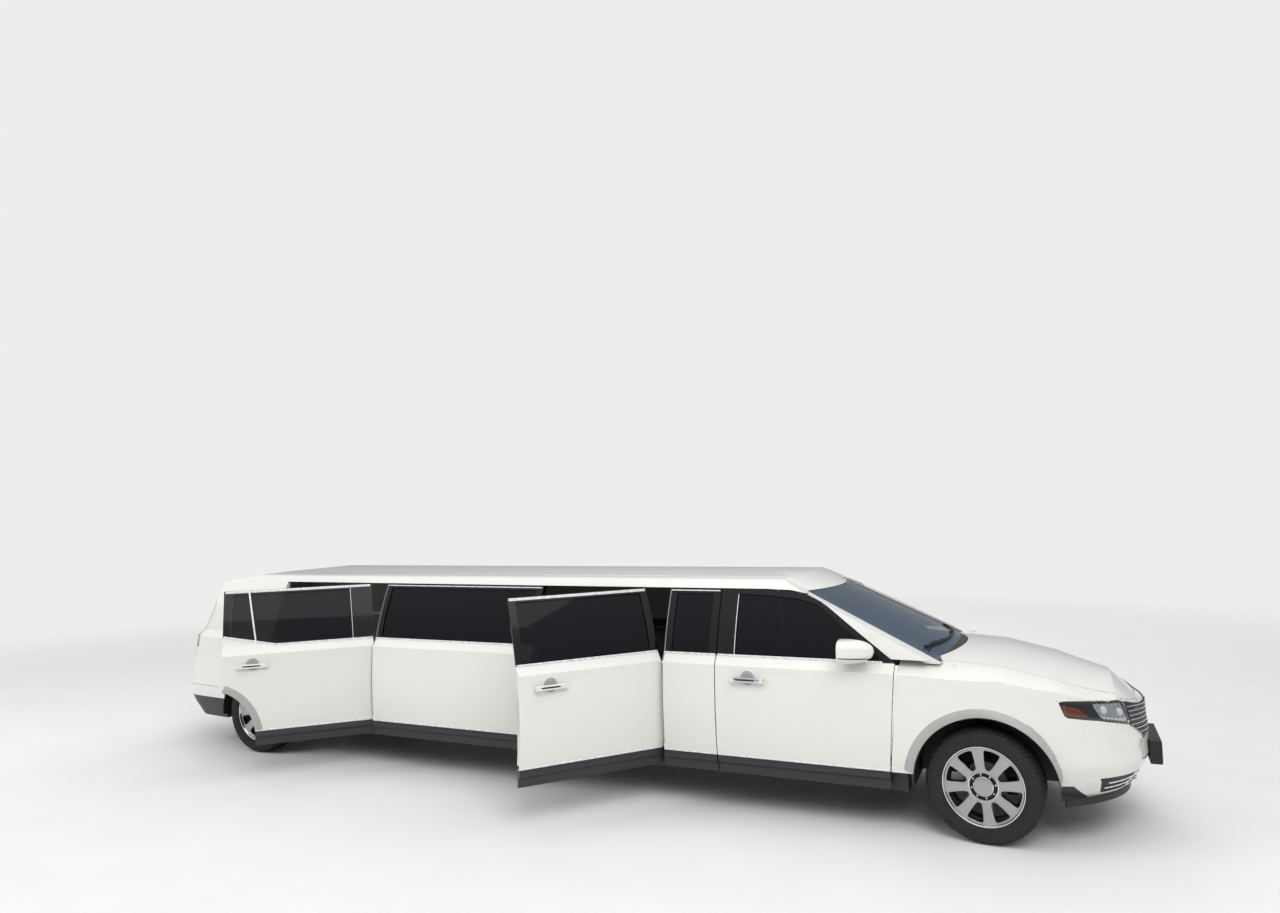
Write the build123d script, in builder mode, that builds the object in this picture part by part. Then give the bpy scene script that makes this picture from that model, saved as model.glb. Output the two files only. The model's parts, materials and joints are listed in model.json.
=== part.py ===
"""Stretch limousine: one long car body with five side doors, at real size in millimetres.

+X points forward, +Y to the left and +Z up. The origin is on the ground, on the
centre line, halfway between the front and rear ends. Stations along the car are
given as distances forward of the front axle and turned into x by station().
The second right-hand side door and the rear right-hand door stand open.
"""

from build123d import *
import os
from math import atan2, cos, hypot, sin

# Overall sizes
base_wheelbase = 2995
stretch = 3556
front_overhang = 1072
rear_overhang = 1238
wheelbase = base_wheelbase + stretch
front_axle_x = (wheelbase + rear_overhang - front_overhang) / 2
rear_axle_x = front_axle_x - wheelbase

# Wheels and steering
tyre_radius = 370
tyre_width = 235
rim_radius = 258
track = 1650
steer_now = 5
steer_limit = 34
kingpin_inset = 70
axle_z = tyre_radius
arch_radius = 452

# Heights of the body side
cladding_bottom_z = 290
sill_z = 416
low_crease_z = 513
bulge_z = 790
shoulder_z = 1073
belt_z = 1137
rail_z = 1617
crown_z = 1711

# Half widths at those heights
cladding_y = 918
sill_y = 945
low_crease_y = 962
bulge_y = 968
shoulder_y = 955
belt_y = 905
rail_y = 722
roof_turn_y = 620
roof_turn_z = 1682
glass_bulge = 14

# Wall thicknesses and gaps
door_wall = 100
frame_wall = 46
skin = 26
roof_wall = 40
shut_gap = 8
seat_gap = 0.3
step_in = 16
step_skin = 12
glass_thick = 5
glass_inset = 10

# Side stations, forward of the front axle
front_door_front = -600
front_door_rear = -1840
fifth_door_front = -2279
fifth_door_rear = -3431
rear_door_front = -5116
rear_door_rear = -6360
pillar_width = 60

# Door hinges and how far the two open doors stand open
hinge_inset = 20
hinge_heights = (590, 900)
pin_radius = 5
pin_play = 0.05
pin_length = 72
notch_height = 44
arm_height = 22
arm_half = 7
fifth_door_open = 52
rear_door_open = 46

os.makedirs("parts", exist_ok=True)


def station(forward):
    """The x of a station given as the distance forward of the front axle."""
    return front_axle_x + forward


def save(shape, name):
    """Labels a finished piece and writes it."""
    shape.label = name
    export_step(shape, f"parts/{name}.step")


def swing(shape, hinge_x, hinge_y, angle):
    """Turns a finished piece about an upright axis."""
    return shape.rotate(Axis((hinge_x, hinge_y, 0), (0, 0, 1)), angle)


# The glass side is one arc from the belt to the roof rail
chord = hypot(belt_y - rail_y, rail_z - belt_z)
glass_radius = (chord**2 / 8 + glass_bulge**2 / 2) / glass_bulge
lean = atan2(belt_y - rail_y, rail_z - belt_z)
arc_y = (belt_y + rail_y) / 2 - (glass_radius - glass_bulge) * cos(lean)
arc_z = (belt_z + rail_z) / 2 - (glass_radius - glass_bulge) * sin(lean)


def glass_side(inset, height):
    """The point of the leaning glass side at a height, set in by an amount."""
    radius = glass_radius - inset
    return (arc_y + (radius**2 - (height - arc_z) ** 2) ** 0.5, height)


def upper_arc(inset, low, high):
    """The three points of the leaning side between two heights."""
    return [glass_side(inset, z) for z in (low, (low + high) / 2, high)]


# The rows of the body's plan outline: height, nose, half width, tail,
# where nose and tail are stations
plan_levels = (
    (cladding_bottom_z, 900, cladding_y, -7640),
    (sill_z, 985, sill_y, -7735),
    (low_crease_z, 1022, low_crease_y, -7785),
    (bulge_z, 1000, bulge_y, -7745),
    (shoulder_z, 930, shoulder_y, -7690),
    (belt_z, 900, belt_y, -7640),
    (crown_z + 60, 500, belt_y, -7270),
)


def plan_outline(height, nose, half_width, tail):
    """The closed plan outline of the body at one height."""
    width = half_width / bulge_y
    with BuildSketch(Plane.XY.offset(height)) as outline:
        with BuildLine():
            brow = (station(nose - 133), 520 * width)
            lamp = (station(nose - 565), 862 * width)
            flank = (station(nose - 1350), half_width)
            haunch = (station(tail + 1150), half_width)
            corner = (station(tail + 330), 905 * width)
            hatch = (station(tail + 90), 640 * width)
            ThreePointArc((station(nose), 0), (station(nose - 34), 265 * width), brow)
            ThreePointArc(brow, (station(nose - 300), 722 * width), lamp)
            ThreePointArc(lamp, (station(nose - 930), 938 * width), flank)
            Line(flank, haunch)
            ThreePointArc(haunch, (station(tail + 760), 952 * width), corner)
            ThreePointArc(corner, (station(tail + 165), 818 * width), hatch)
            ThreePointArc(hatch, (station(tail + 22), 330 * width), (station(tail), 0))
            mirror(about=Plane.XZ)
        make_face()
    return outline.sketch


def body_block(wall, rows=plan_levels):
    """The body's plan form as a solid, set in by the wall."""
    levels = [
        plan_outline(height, nose - wall, half_width - wall, tail + wall)
        for height, nose, half_width, tail in rows
    ]
    with BuildPart() as block:
        loft(levels, ruled=True)
    return block.part


# The bonnet and wing tops: station, height on the centre line, at the shoulder
# line and at the side
top_rows = (
    (-640, 1204, 1165, 1060),
    (115, 1163, 1112, 1000),
    (456, 1100, 1030, 865),
    (800, 1003, 868, 715),
    (942, 861, 765, 620),
    (1100, 600, 520, 450),
)
top_shoulder_y = 720
top_side_y = 1000


def front_top(drop):
    """The solid under the bonnet and wing tops, lowered by an amount."""
    rows = []
    for forward, middle, shoulder, side in top_rows:
        with BuildSketch(Plane.YZ.offset(station(forward))) as row:
            with BuildLine():
                edge = (top_side_y, side - drop)
                turn = (top_shoulder_y, shoulder - drop)
                over = (top_shoulder_y + 160, shoulder - drop - (shoulder - side) * 0.40)
                ThreePointArc(edge, over, turn)
                ThreePointArc(turn, (0, middle - drop), (-turn[0], turn[1]))
                ThreePointArc((-turn[0], turn[1]), (-over[0], over[1]), (-edge[0], edge[1]))
                Line((-edge[0], edge[1]), (-edge[0], 100))
                Line((-edge[0], 100), (edge[0], 100))
                Line((edge[0], 100), edge)
            make_face()
        rows.append(row.sketch)
    with BuildPart() as top:
        loft(rows, ruled=True)
    return top.part


# Seam outlines in side view, as stations and heights
bonnet_edge_z = 790
above_all = 1900
bonnet_plan = ((-150, 0), (-330, 690), (470, 672), (845, 470), (948, 0))
lamp_side = ((456, 945), (676, 815), (872, 762), (842, 905), (700, 968))
wing_seam = ((450, 950), (600, 770), (600, 650), (440, 560))

front_block = body_block(0)
front_hollow = body_block(skin)
top_outer = front_top(0)
top_inner = front_top(skin)


def bonnet_outline(grow):
    """The bonnet's plan outline, grown by a gap."""
    rear, hip, side, brow, lip = bonnet_plan
    with BuildSketch(Plane.XY) as outline:
        with BuildLine():
            back = (station(hip[0] - grow), hip[1] + grow)
            flank = (station(side[0]), side[1] + grow)
            front = (station(brow[0] + grow), brow[1] + grow)
            ThreePointArc(back, (station(rear[0] - grow), 0), (back[0], -back[1]))
            Polyline(back, flank, front)
            Polyline((back[0], -back[1]), (flank[0], -flank[1]), (front[0], -front[1]))
            ThreePointArc(front, (station(lip[0] + grow), 0), (front[0], -front[1]))
        make_face()
    return outline.sketch


with BuildPart() as bonnet:
    extrude(bonnet_outline(0), amount=above_all)
    add(top_outer, mode=Mode.INTERSECT)
    add(front_block, mode=Mode.INTERSECT)
    add(top_inner, mode=Mode.SUBTRACT)
save(bonnet.part, "bonnet")

with BuildPart() as front_inside:
    add(top_inner)
    add(front_hollow, mode=Mode.INTERSECT)

with BuildPart() as front_shell:
    add(top_outer)
    add(front_block, mode=Mode.INTERSECT)
    add(front_inside.part, mode=Mode.SUBTRACT)
    opening = bonnet_outline(shut_gap).moved(Location((0, 0, bonnet_edge_z)))
    extrude(opening, amount=above_all - bonnet_edge_z, mode=Mode.SUBTRACT)


def side_sketch(points, grow=0):
    """A closed side-view outline of stations and heights, grown by an amount."""
    with BuildSketch(Plane.XZ) as outline:
        with BuildLine():
            Polyline(*[(station(x), z) for x, z in points], close=True)
        make_face()
        if grow:
            offset(amount=grow, kind=Kind.INTERSECTION)
    return outline.sketch


def wheel_cut(axle_x, radius, near, far):
    """A round bar across the car's right-hand side about a wheel's centre."""
    with BuildPart() as bar:
        with BuildSketch(Plane.XZ.offset(near)):
            with Locations((axle_x, axle_z)):
                Circle(radius)
        extrude(amount=far - near)
    return bar.part


half_width = 1100
far_aft = rear_overhang - rear_axle_x + 200


def mirrored(points):
    """A front-view outline completed to the other side of the centre line."""
    return list(points) + [(-y, z) for y, z in reversed(points) if y != 0]


def front_sketch(points, grow=0):
    """A closed front-view outline of half widths and heights."""
    with BuildSketch(Plane.YZ) as outline:
        with BuildLine():
            Polyline(*mirrored(points), close=True)
        make_face()
        if grow:
            offset(amount=grow, kind=Kind.INTERSECTION)
    return outline.sketch


wing_inner_y = 540
cowl_side = 690


def box_between(x0, x1, y0, y1, z0, z1):
    """A box from its corners, with stations along the car."""
    with BuildPart() as block:
        with Locations((station((x0 + x1) / 2), (y0 + y1) / 2, (z0 + z1) / 2)):
            Box(abs(x1 - x0), abs(y1 - y0), abs(z1 - z0))
    return block.part


# The front end: bumper, wings, grille, intake and lamps
wing_rear_top = front_door_front + 75
nose_points = ((1300, 200), (1300, 1100), (wing_seam[0][0], 1100)) + wing_seam + ((440, 200),)
wing_points = (
    (wing_rear_top, 1300),
    (wing_rear_top, belt_z),
    (front_door_front + shut_gap, sill_z),
    (440, sill_z),
    *[(x - seat_gap, z) for x, z in reversed(wing_seam)],
    (wing_seam[0][0], 1300),
)
grille_points = ((0, 842), (270, 838), (500, 812), (330, 640), (120, 632), (0, 655))
intake_points = ((0, 424), (350, 424), (720, 438), (650, 330), (0, 322))

with BuildPart() as wing_right:
    extrude(side_sketch(wing_points), amount=half_width)
    add(front_shell.part, mode=Mode.INTERSECT)
    add(wheel_cut(front_axle_x, arch_radius, 500, half_width), mode=Mode.SUBTRACT)
    extrude(side_sketch(lamp_side, seat_gap), amount=half_width, mode=Mode.SUBTRACT)
    add(box_between(-1000, 1200, -wing_inner_y, 0, 0, above_all), mode=Mode.SUBTRACT)
    add(box_between(-1000, 0, -cowl_side, 0, 900, above_all), mode=Mode.SUBTRACT)
with BuildPart() as wings:
    add(wing_right.part)
    add(mirror(wing_right.part, about=Plane.XZ))
save(wings.part, "wings")

with BuildPart() as nose:
    extrude(side_sketch(nose_points), amount=half_width, both=True)
    add(front_shell.part, mode=Mode.INTERSECT)
    add(wheel_cut(front_axle_x, arch_radius, -half_width, half_width), mode=Mode.SUBTRACT)
    extrude(side_sketch(lamp_side, seat_gap), amount=half_width, both=True, mode=Mode.SUBTRACT)
    extrude(front_sketch(grille_points), amount=far_aft, mode=Mode.SUBTRACT)
    extrude(front_sketch(intake_points), amount=far_aft, mode=Mode.SUBTRACT)
save(nose.part, "nose")

lamp_depth = 80
with BuildPart() as headlamps:
    extrude(side_sketch(lamp_side), amount=half_width, both=True)
    add(top_outer, mode=Mode.INTERSECT)
    add(front_block, mode=Mode.INTERSECT)
    add(body_block(lamp_depth), mode=Mode.SUBTRACT)
    extrude(bonnet_outline(shut_gap), amount=above_all, mode=Mode.SUBTRACT)
save(headlamps.part, "headlamps")

grille_depth = 18
grille_inset = 6
bar_gap = 18
bar_pitch = 32
bar_count = 6
bar_first = 10
grille_frame = 14
with BuildSketch(Plane.YZ) as grille_slots:
    for row in range(bar_count):
        with Locations((0, grille_points[-1][1] + bar_first + row * bar_pitch)):
            Rectangle(half_width, bar_gap)
with BuildPart() as grille:
    extrude(front_sketch(grille_points, -seat_gap), amount=far_aft)
    add(top_outer, mode=Mode.INTERSECT)
    add(body_block(grille_inset), mode=Mode.INTERSECT)
    add(body_block(grille_inset + grille_depth), mode=Mode.SUBTRACT)
    extrude(side_sketch(lamp_side, seat_gap), amount=half_width, both=True, mode=Mode.SUBTRACT)
    with BuildSketch(Plane.YZ):
        add(grille_slots.sketch)
        add(front_sketch(grille_points, -grille_frame), mode=Mode.INTERSECT)
    extrude(amount=far_aft, mode=Mode.SUBTRACT)
save(grille.part, "grille")

with BuildPart() as intake:
    extrude(front_sketch(intake_points, -seat_gap), amount=far_aft)
    add(body_block(grille_inset), mode=Mode.INTERSECT)
    add(body_block(grille_inset + grille_depth), mode=Mode.SUBTRACT)
save(intake.part, "intake")


with BuildPart() as plate_bracket:
    add(box_between(1000, 1072, -262, 262, 440, 593))
    add(body_block(-seat_gap), mode=Mode.SUBTRACT)
save(plate_bracket.part, "plate_bracket")


# The cabin: cross-section, roof line in side view and the bowed windscreen
roof_line = (
    (-150, 1337),
    (-1345, 1690),
    (-1700, 1716),
    (-6100, 1716),
    (-6650, 1696),
    (-7030, 1642),
    (-7420, 1572),
    (-8300, 1414),
)
cabin_front = -150
screen_base = (-203, 1180)
screen_top = (-1115, 1617)
screen_bow = 55
screen_bow_y = 600
screen_side_bow = 58
screen_side_y = 760
screen_far_bow = 75
screen_thick = 6
screen_points = ((0, 1140), (780, 1140), (640, 1598), (0, 1598))
rear_wall = 60
belt_ledge = 4


def roof_section(inset):
    """The cabin's closed cross-section above the belt, set in by its wall."""
    with BuildSketch(Plane.YZ.offset(station(roof_line[-1][0]))) as section:
        with BuildLine():
            belt = glass_side(inset, belt_z)
            rail = glass_side(inset, rail_z)
            turn = (roof_turn_y - inset * 0.6, roof_turn_z - inset)
            middle = (0, crown_z - inset)
            bend = ((rail[0] + turn[0]) / 2 + 10, (rail[1] + turn[1]) / 2 + 7)
            Line((0, belt_z), belt)
            ThreePointArc(*upper_arc(inset, belt_z, rail_z))
            ThreePointArc(rail, bend, turn)
            ThreePointArc(turn, (turn[0] / 2, turn[1] + (middle[1] - turn[1]) * 0.755), middle)
            mirror(about=Plane.YZ)
        make_face()
    return section.sketch


slope = Vector(screen_top[0] - screen_base[0], 0, screen_top[1] - screen_base[1]).normalized()
screen_plane = Plane(
    origin=(station(screen_base[0]), 0, screen_base[1]), x_dir=(0, 1, 0), z_dir=slope
)


def screen_slab(near, far):
    """A bowed slab along the windscreen, between two depths below its outer face."""
    reach = 1000
    bends = ((screen_bow_y, screen_bow), (screen_side_y, screen_side_bow), (reach, screen_far_bow))
    with BuildPart() as slab:
        with BuildSketch(screen_plane):
            with BuildLine():
                for depth in (near, far):
                    right = [(-y, bow + depth) for y, bow in bends]
                    left = [(y, bow + depth) for y, bow in bends]
                    ThreePointArc(right[0], (0, depth), left[0])
                    Polyline(*right)
                    Polyline(*left)
                for y in (-reach, reach):
                    Line((y, screen_far_bow + near), (y, screen_far_bow + far))
            make_face()
        extrude(amount=1800, both=True)
    return slab.part


def cabin_block(lower, upper, aft):
    """The cabin as a solid, set in by its walls below, above and behind the belt.

    An inner solid is a ledge smaller above the belt than below it.
    """
    length = roof_line[0][0] - roof_line[-1][0]
    roof = [(x, z - upper) for x, z in roof_line]
    trim = [(z, nose, belt_y + 2, tail) for z, nose, _, tail in plan_levels[-2:]]
    with BuildPart() as block:
        extrude(roof_section(upper), amount=length)
        extrude(
            side_sketch([(roof_line[-1][0], 150), (cabin_front, 150)] + roof),
            amount=half_width,
            both=True,
            mode=Mode.INTERSECT,
        )
        add(body_block(aft + (belt_ledge if lower else 0), trim), mode=Mode.INTERSECT)
        add(screen_slab(-1500, upper), mode=Mode.SUBTRACT)
    with BuildPart() as under:
        add(body_block(aft, plan_levels[:-1]))
        if lower:
            with BuildSketch(Plane.XY):
                Rectangle(4 * far_aft, 2 * (bulge_y - lower))
            extrude(amount=belt_z, mode=Mode.INTERSECT)
    with BuildPart() as whole:
        add(block.part)
        add(under.part)
    return whole.part


with BuildPart() as cabin:
    add(cabin_block(0, 0, 0))
    add(cabin_block(door_wall, roof_wall, rear_wall), mode=Mode.SUBTRACT)

# Side-view outlines of the doors and of their windows, as stations and heights
rail_gap_z = rail_z - shut_gap
front_door_points = (
    (front_door_rear, sill_z),
    (front_door_front, sill_z),
    (front_door_front + 52, belt_z),
    (-880, 1384),
    (-1075, 1532),
    (-1180, 1580),
    (-1310, rail_gap_z - 6),
    (-1500, rail_gap_z),
    (front_door_rear, rail_gap_z),
)
front_window_points = (
    (-1700, 1152),
    (-620, 1152),
    (-905, 1366),
    (-1098, 1512),
    (-1245, 1550),
    (-1500, 1572),
    (-1700, 1576),
)
fifth_door_points = (
    (fifth_door_rear, sill_z),
    (fifth_door_front, sill_z),
    (fifth_door_front, rail_gap_z),
    (fifth_door_rear, rail_gap_z),
)
fifth_window_points = (
    (fifth_door_rear + 60, 1152),
    (fifth_door_front - 60, 1152),
    (fifth_door_front - 60, 1576),
    (fifth_door_rear + 60, 1576),
)
rear_door_points = (
    (rear_door_rear, sill_z),
    (rear_door_front, sill_z),
    (rear_door_front, rail_gap_z),
    (rear_door_rear, rail_gap_z),
)
rear_window_points = (
    (-5960, 1168),
    (rear_door_front - 170, 1152),
    (rear_door_front - 190, 1576),
    (-6290, 1572),
    (-6300, 1240),
)


def wall_solid(rear, front, lower, upper):
    """A straight run of the right-hand side wall between two stations."""
    with BuildPart() as wall:
        with BuildSketch(Plane.YZ.offset(station(rear))):
            with BuildLine():
                outer = [(-y, z) for y, z in upper_arc(0, belt_z, rail_z)]
                inner = [(-y, z) for y, z in upper_arc(upper, belt_z, rail_z)]
                Polyline((-sill_y, sill_z), (-low_crease_y, low_crease_z))
                Polyline(
                    (-low_crease_y, low_crease_z),
                    (-bulge_y, bulge_z),
                    (-shoulder_y, shoulder_z),
                    outer[0],
                )
                ThreePointArc(*outer)
                Line(outer[-1], inner[-1])
                ThreePointArc(*inner)
                Polyline(
                    inner[0],
                    (lower - shoulder_y, shoulder_z),
                    (lower - bulge_y, bulge_z),
                    (lower - low_crease_y, low_crease_z),
                    (lower - sill_y, sill_z),
                    (-sill_y, sill_z),
                )
            make_face()
        extrude(amount=front - rear)
    return wall.part


def door_leaf(points, window, handle_at, arch=False):
    """A right-hand door: outer skin, the body inside it set back all round, and a handle."""
    rear = min(x for x, z in points)
    front = max(x for x, z in points)
    outline = side_sketch(points)
    body = side_sketch(points, -step_in)
    with BuildPart() as inside:
        add(wall_solid(rear, front, door_wall, frame_wall))
        extrude(body, amount=half_width, mode=Mode.INTERSECT)
    with BuildPart() as leaf:
        add(wall_solid(rear, front, step_skin, step_skin))
        extrude(outline, amount=half_width, mode=Mode.INTERSECT)
        add(inside.part)
        extrude(side_sketch(window), amount=half_width, mode=Mode.SUBTRACT)
        if arch:
            add(wheel_cut(rear_axle_x, arch_radius, 500, half_width), mode=Mode.SUBTRACT)
        with Locations((station(handle_at), -bulge_y - cup_out, handle_z + 12)):
            Sphere(cup_radius, mode=Mode.SUBTRACT)
        with Locations((station(handle_at), -bulge_y - handle_stand, handle_z)):
            Box(handle_length, handle_thick, handle_height)
        for end in (-1, 1):
            with Locations((station(handle_at + end * (handle_length / 2 - 20)), -bulge_y, handle_z)):
                Box(30, 2 * handle_stand, handle_height)
    return leaf.part


def pane(window):
    """A side window's glass inside its opening."""
    rear = min(x for x, z in window)
    front = max(x for x, z in window)
    with BuildPart() as glass:
        with BuildSketch(Plane.YZ.offset(station(rear))):
            with BuildLine():
                outer = [(-y, z) for y, z in upper_arc(glass_inset, belt_z, rail_z)]
                inner = [(-y, z) for y, z in upper_arc(glass_inset + glass_thick, belt_z, rail_z)]
                ThreePointArc(*outer)
                Line(outer[-1], inner[-1])
                ThreePointArc(*inner)
                Line(inner[0], outer[0])
            make_face()
        extrude(amount=front - rear)
        extrude(side_sketch(window, -seat_gap), amount=half_width, mode=Mode.INTERSECT)
    return glass.part


cladding_thick = 24


def cladding_run(rear, front):
    """The black lower strip of the right-hand side between two stations."""
    with BuildPart() as strip:
        with BuildSketch(Plane.YZ.offset(station(rear))):
            with BuildLine():
                Polyline(
                    (-sill_y + 4, sill_z),
                    (-sill_y - 6, sill_z - 24),
                    (-sill_y - 4, sill_z - 44),
                    (-cladding_y - 6, sill_z - 66),
                    (-cladding_y, cladding_bottom_z),
                    (-cladding_y + cladding_thick, cladding_bottom_z),
                    (-cladding_y + cladding_thick, sill_z),
                    close=True,
                )
            make_face()
        extrude(amount=front - rear)
    return strip.part


handle_z = 980
handle_length = 250
handle_thick = 14
handle_height = 30
handle_stand = 22
cup_radius = 95
cup_out = 78

rear_arch = rear_axle_x - front_axle_x
arch_half = (arch_radius**2 - (sill_z - axle_z) ** 2) ** 0.5
hinge_y = bulge_y - hinge_inset
door_table = (
    # name, outline, window, handle station, hinge behind the front edge, rear end of the
    # cladding, arch cut, right only, open now
    ("front_door", front_door_points, front_window_points, -1590, 57, front_door_rear, False,
     False, 0),
    ("rear_door", rear_door_points, rear_window_points, -6120, 70, rear_arch + arch_half, True,
     False, rear_door_open),
    ("middle_door", fifth_door_points, fifth_window_points, -3190, 70, fifth_door_rear, False,
     True, fifth_door_open),
)
hinge_stations = {row[0]: row[1][1][0] - row[4] for row in door_table}


def hinge_room(hinge_at, front):
    """The notches and pin bores that a door has for its two hinges."""
    with BuildPart() as room:
        for height in hinge_heights:
            low = height - notch_height / 2
            high = height + notch_height / 2
            add(box_between(hinge_at - 16, front + 90, -hinge_y - 10, -800, low, high))
            with Locations((station(hinge_at), -hinge_y, height)):
                Cylinder(pin_radius + pin_play, pin_length + 6)
    return room.part


def hinge_arms(hinge_at, post_at):
    """The two hinges' arms and pins, reaching back from a post to a door's upright axis."""
    inner = bulge_y - door_wall
    with BuildPart() as arms:
        for height in hinge_heights:
            low = height - arm_height / 2
            high = height + arm_height / 2
            add(box_between(hinge_at - arm_half, hinge_at + arm_half, -hinge_y, 18 - inner, low, high))
            add(box_between(hinge_at - arm_half, post_at, -inner, 18 - inner, low, high))
            with Locations((station(hinge_at), -hinge_y, height)):
                Cylinder(arm_half, arm_height)
                Cylinder(pin_radius, pin_length)
    return arms.part


for name, points, window, handle_at, behind, strip_rear, arch, right_only, angle in door_table:
    front = points[1][0]
    with BuildPart() as door:
        add(door_leaf(points, window, handle_at, arch))
        add(cladding_run(strip_rear, front))
        add(hinge_room(front - behind, front), mode=Mode.SUBTRACT)
    hinge = (station(front - behind), -hinge_y)
    for shape, kind in ((door.part, ""), (pane(window), "_glass")):
        save(swing(shape, *hinge, angle), f"{name}_right{kind}")
        if not right_only:
            save(mirror(shape, about=Plane.XZ), f"{name}_left{kind}")

# The fixed side walls between the doors stand on the sills
sill_top_z = 425
post_rear = -535
post_front = -495
post_top_z = 1080
sill_bottom_z = 270
sill_out = bulge_y - door_wall - 15
sill_in = 720
fixed_window_z = (1152, 1576)


def window_box(rear, front):
    """A fixed side window's outline inside its panel."""
    low, high = fixed_window_z
    rear, front = rear + pillar_width, front - pillar_width
    return ((rear, low), (front, low), (front, high), (rear, high))


def side_wall(panels, hinges):
    """The fixed right-hand panels on one sill, with the front post and the door hinges."""
    with BuildPart() as wall:
        for rear, front in panels:
            add(wall_solid(rear, front, door_wall, frame_wall))
            extrude(side_sketch(window_box(rear, front)), amount=half_width, mode=Mode.SUBTRACT)
            add(cladding_run(rear, front))
            add(box_between(rear, front, door_wall - sill_y - 30, -sill_in, sill_z, sill_top_z))
        add(box_between(sill_rear, post_front, -sill_out, -sill_in, sill_bottom_z, sill_top_z))
        add(box_between(post_rear, post_front, door_wall - bulge_y, -sill_in, sill_bottom_z, post_top_z))
        for hinge_at, post_at in hinges:
            add(hinge_arms(hinge_at, post_at))
    return wall.part


def side_glass(panels):
    """The glass of the fixed right-hand panels."""
    with BuildPart() as glass:
        for rear, front in panels:
            add(pane(window_box(rear, front)))
    return glass.part


sill_rear = rear_arch + arch_radius + 20
front_panel = (fifth_door_front + shut_gap, front_door_rear - shut_gap)
rear_panel = (rear_door_front + shut_gap, fifth_door_rear - shut_gap)
long_panel = (rear_panel[0], front_panel[1])
front_hinge = (hinge_stations["front_door"], post_rear + 10)
middle_hinge = (hinge_stations["middle_door"], front_panel[0] + 30)
rear_hinge = (hinge_stations["rear_door"], rear_panel[0] + 30)
right_wall = side_wall((front_panel, rear_panel), (front_hinge, middle_hinge, rear_hinge))
left_wall = mirror(side_wall((long_panel,), (front_hinge, rear_hinge)), about=Plane.XZ)
save(right_wall, "side_right")
save(left_wall, "side_left")
with BuildPart() as side_windows:
    add(side_glass((front_panel, rear_panel)))
    add(mirror(side_glass((long_panel,)), about=Plane.XZ))
save(side_windows.part, "side_windows")

# The tail: tailgate, rear bumper, quarters and lamps
tail_end = -8300
hatch_front = -7050
hatch_half = 640
hatch_points = (
    (0, 604),
    (hatch_half - 60, 604),
    (hatch_half, 664),
    (hatch_half, above_all),
    (0, above_all),
)
rear_glass_points = (
    (0, 1175),
    (hatch_half - 60, 1175),
    (hatch_half - 85, 1490),
    (0, 1500),
)
bumper_top_z = 593
bumper_points = (
    (tail_end, cladding_bottom_z - 20),
    (rear_arch - 300, cladding_bottom_z - 20),
    (rear_arch - 300, 420),
    (rear_arch - 520, bumper_top_z),
    (tail_end, bumper_top_z),
)
lamp_band_z = (965, 1088)
lamp_band_front = -7430
lamp_skin = 14


def tail_prism(points, grow=0):
    """A rear-view outline run forward to the tailgate's front edge."""
    with BuildPart() as prism:
        outline = front_sketch(points, grow).moved(Location((station(tail_end), 0, 0)))
        extrude(outline, amount=hatch_front + grow - tail_end)
    return prism.part


lower_levels = plan_levels[:-1]
lower_block = body_block(0, lower_levels)
with BuildPart() as lamp_band:
    add(lower_block)
    add(body_block(lamp_skin, lower_levels), mode=Mode.SUBTRACT)
    add(box_between(tail_end, lamp_band_front, -half_width, half_width, *lamp_band_z), mode=Mode.INTERSECT)

with BuildPart() as lamp_room:
    add(
        box_between(
            tail_end,
            lamp_band_front + seat_gap,
            -half_width,
            half_width,
            lamp_band_z[0] - seat_gap,
            lamp_band_z[1] + seat_gap,
        )
    )
    add(body_block(lamp_skin + seat_gap, lower_levels), mode=Mode.SUBTRACT)

with BuildPart() as tail_lamp_bar:
    add(lamp_band.part)
    add(tail_prism(hatch_points), mode=Mode.INTERSECT)
save(tail_lamp_bar.part, "tail_lamp_bar")

with BuildPart() as tail_lamps:
    add(lamp_band.part)
    add(tail_prism(hatch_points, shut_gap), mode=Mode.SUBTRACT)
save(tail_lamps.part, "tail_lamps")

rear_reach = 1200
rear_opening = front_sketch(rear_glass_points).moved(Location((station(tail_end), 0, 0)))
rear_pane = front_sketch(rear_glass_points, -seat_gap).moved(Location((station(tail_end), 0, 0)))
gate_hinge = (hatch_front - 30, 1620)
gate_hinge_y = 350
gate_arm_half = 11
gate_arm_drop = 58
gate_arm_thick = 15
gate_room = 8


def gate_plate(low_y, high_y, points):
    """A side-view outline as a plate between two distances from the centre line."""
    with BuildPart() as plate:
        extrude(side_sketch(points).moved(Location((0, low_y, 0))), amount=low_y - high_y)
    return plate.part


def gate_bar(radius, middle, length):
    """A round bar along the tailgate's hinge axis."""
    with BuildPart() as bar:
        with BuildSketch(Plane.XZ.offset(-middle - length / 2)):
            with Locations((station(gate_hinge[0]), gate_hinge[1])):
                Circle(radius)
        extrude(amount=length)
    return bar.part


with BuildPart() as tailgate:
    add(cabin.part)
    add(tail_prism(hatch_points), mode=Mode.INTERSECT)
    extrude(rear_opening, amount=rear_reach, mode=Mode.SUBTRACT)
    add(lamp_room.part, mode=Mode.SUBTRACT)
    for middle in (-gate_hinge_y, gate_hinge_y):
        add(
            box_between(
                gate_hinge[0] - gate_room - 4,
                hatch_front + 1,
                middle - 2 * gate_arm_half,
                middle + 2 * gate_arm_half,
                gate_hinge[1] - 100,
                gate_hinge[1] + gate_room,
            ),
            mode=Mode.SUBTRACT,
        )
        add(gate_bar(pin_radius + pin_play, middle, pin_length + 6), mode=Mode.SUBTRACT)
save(tailgate.part, "tailgate")

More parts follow.
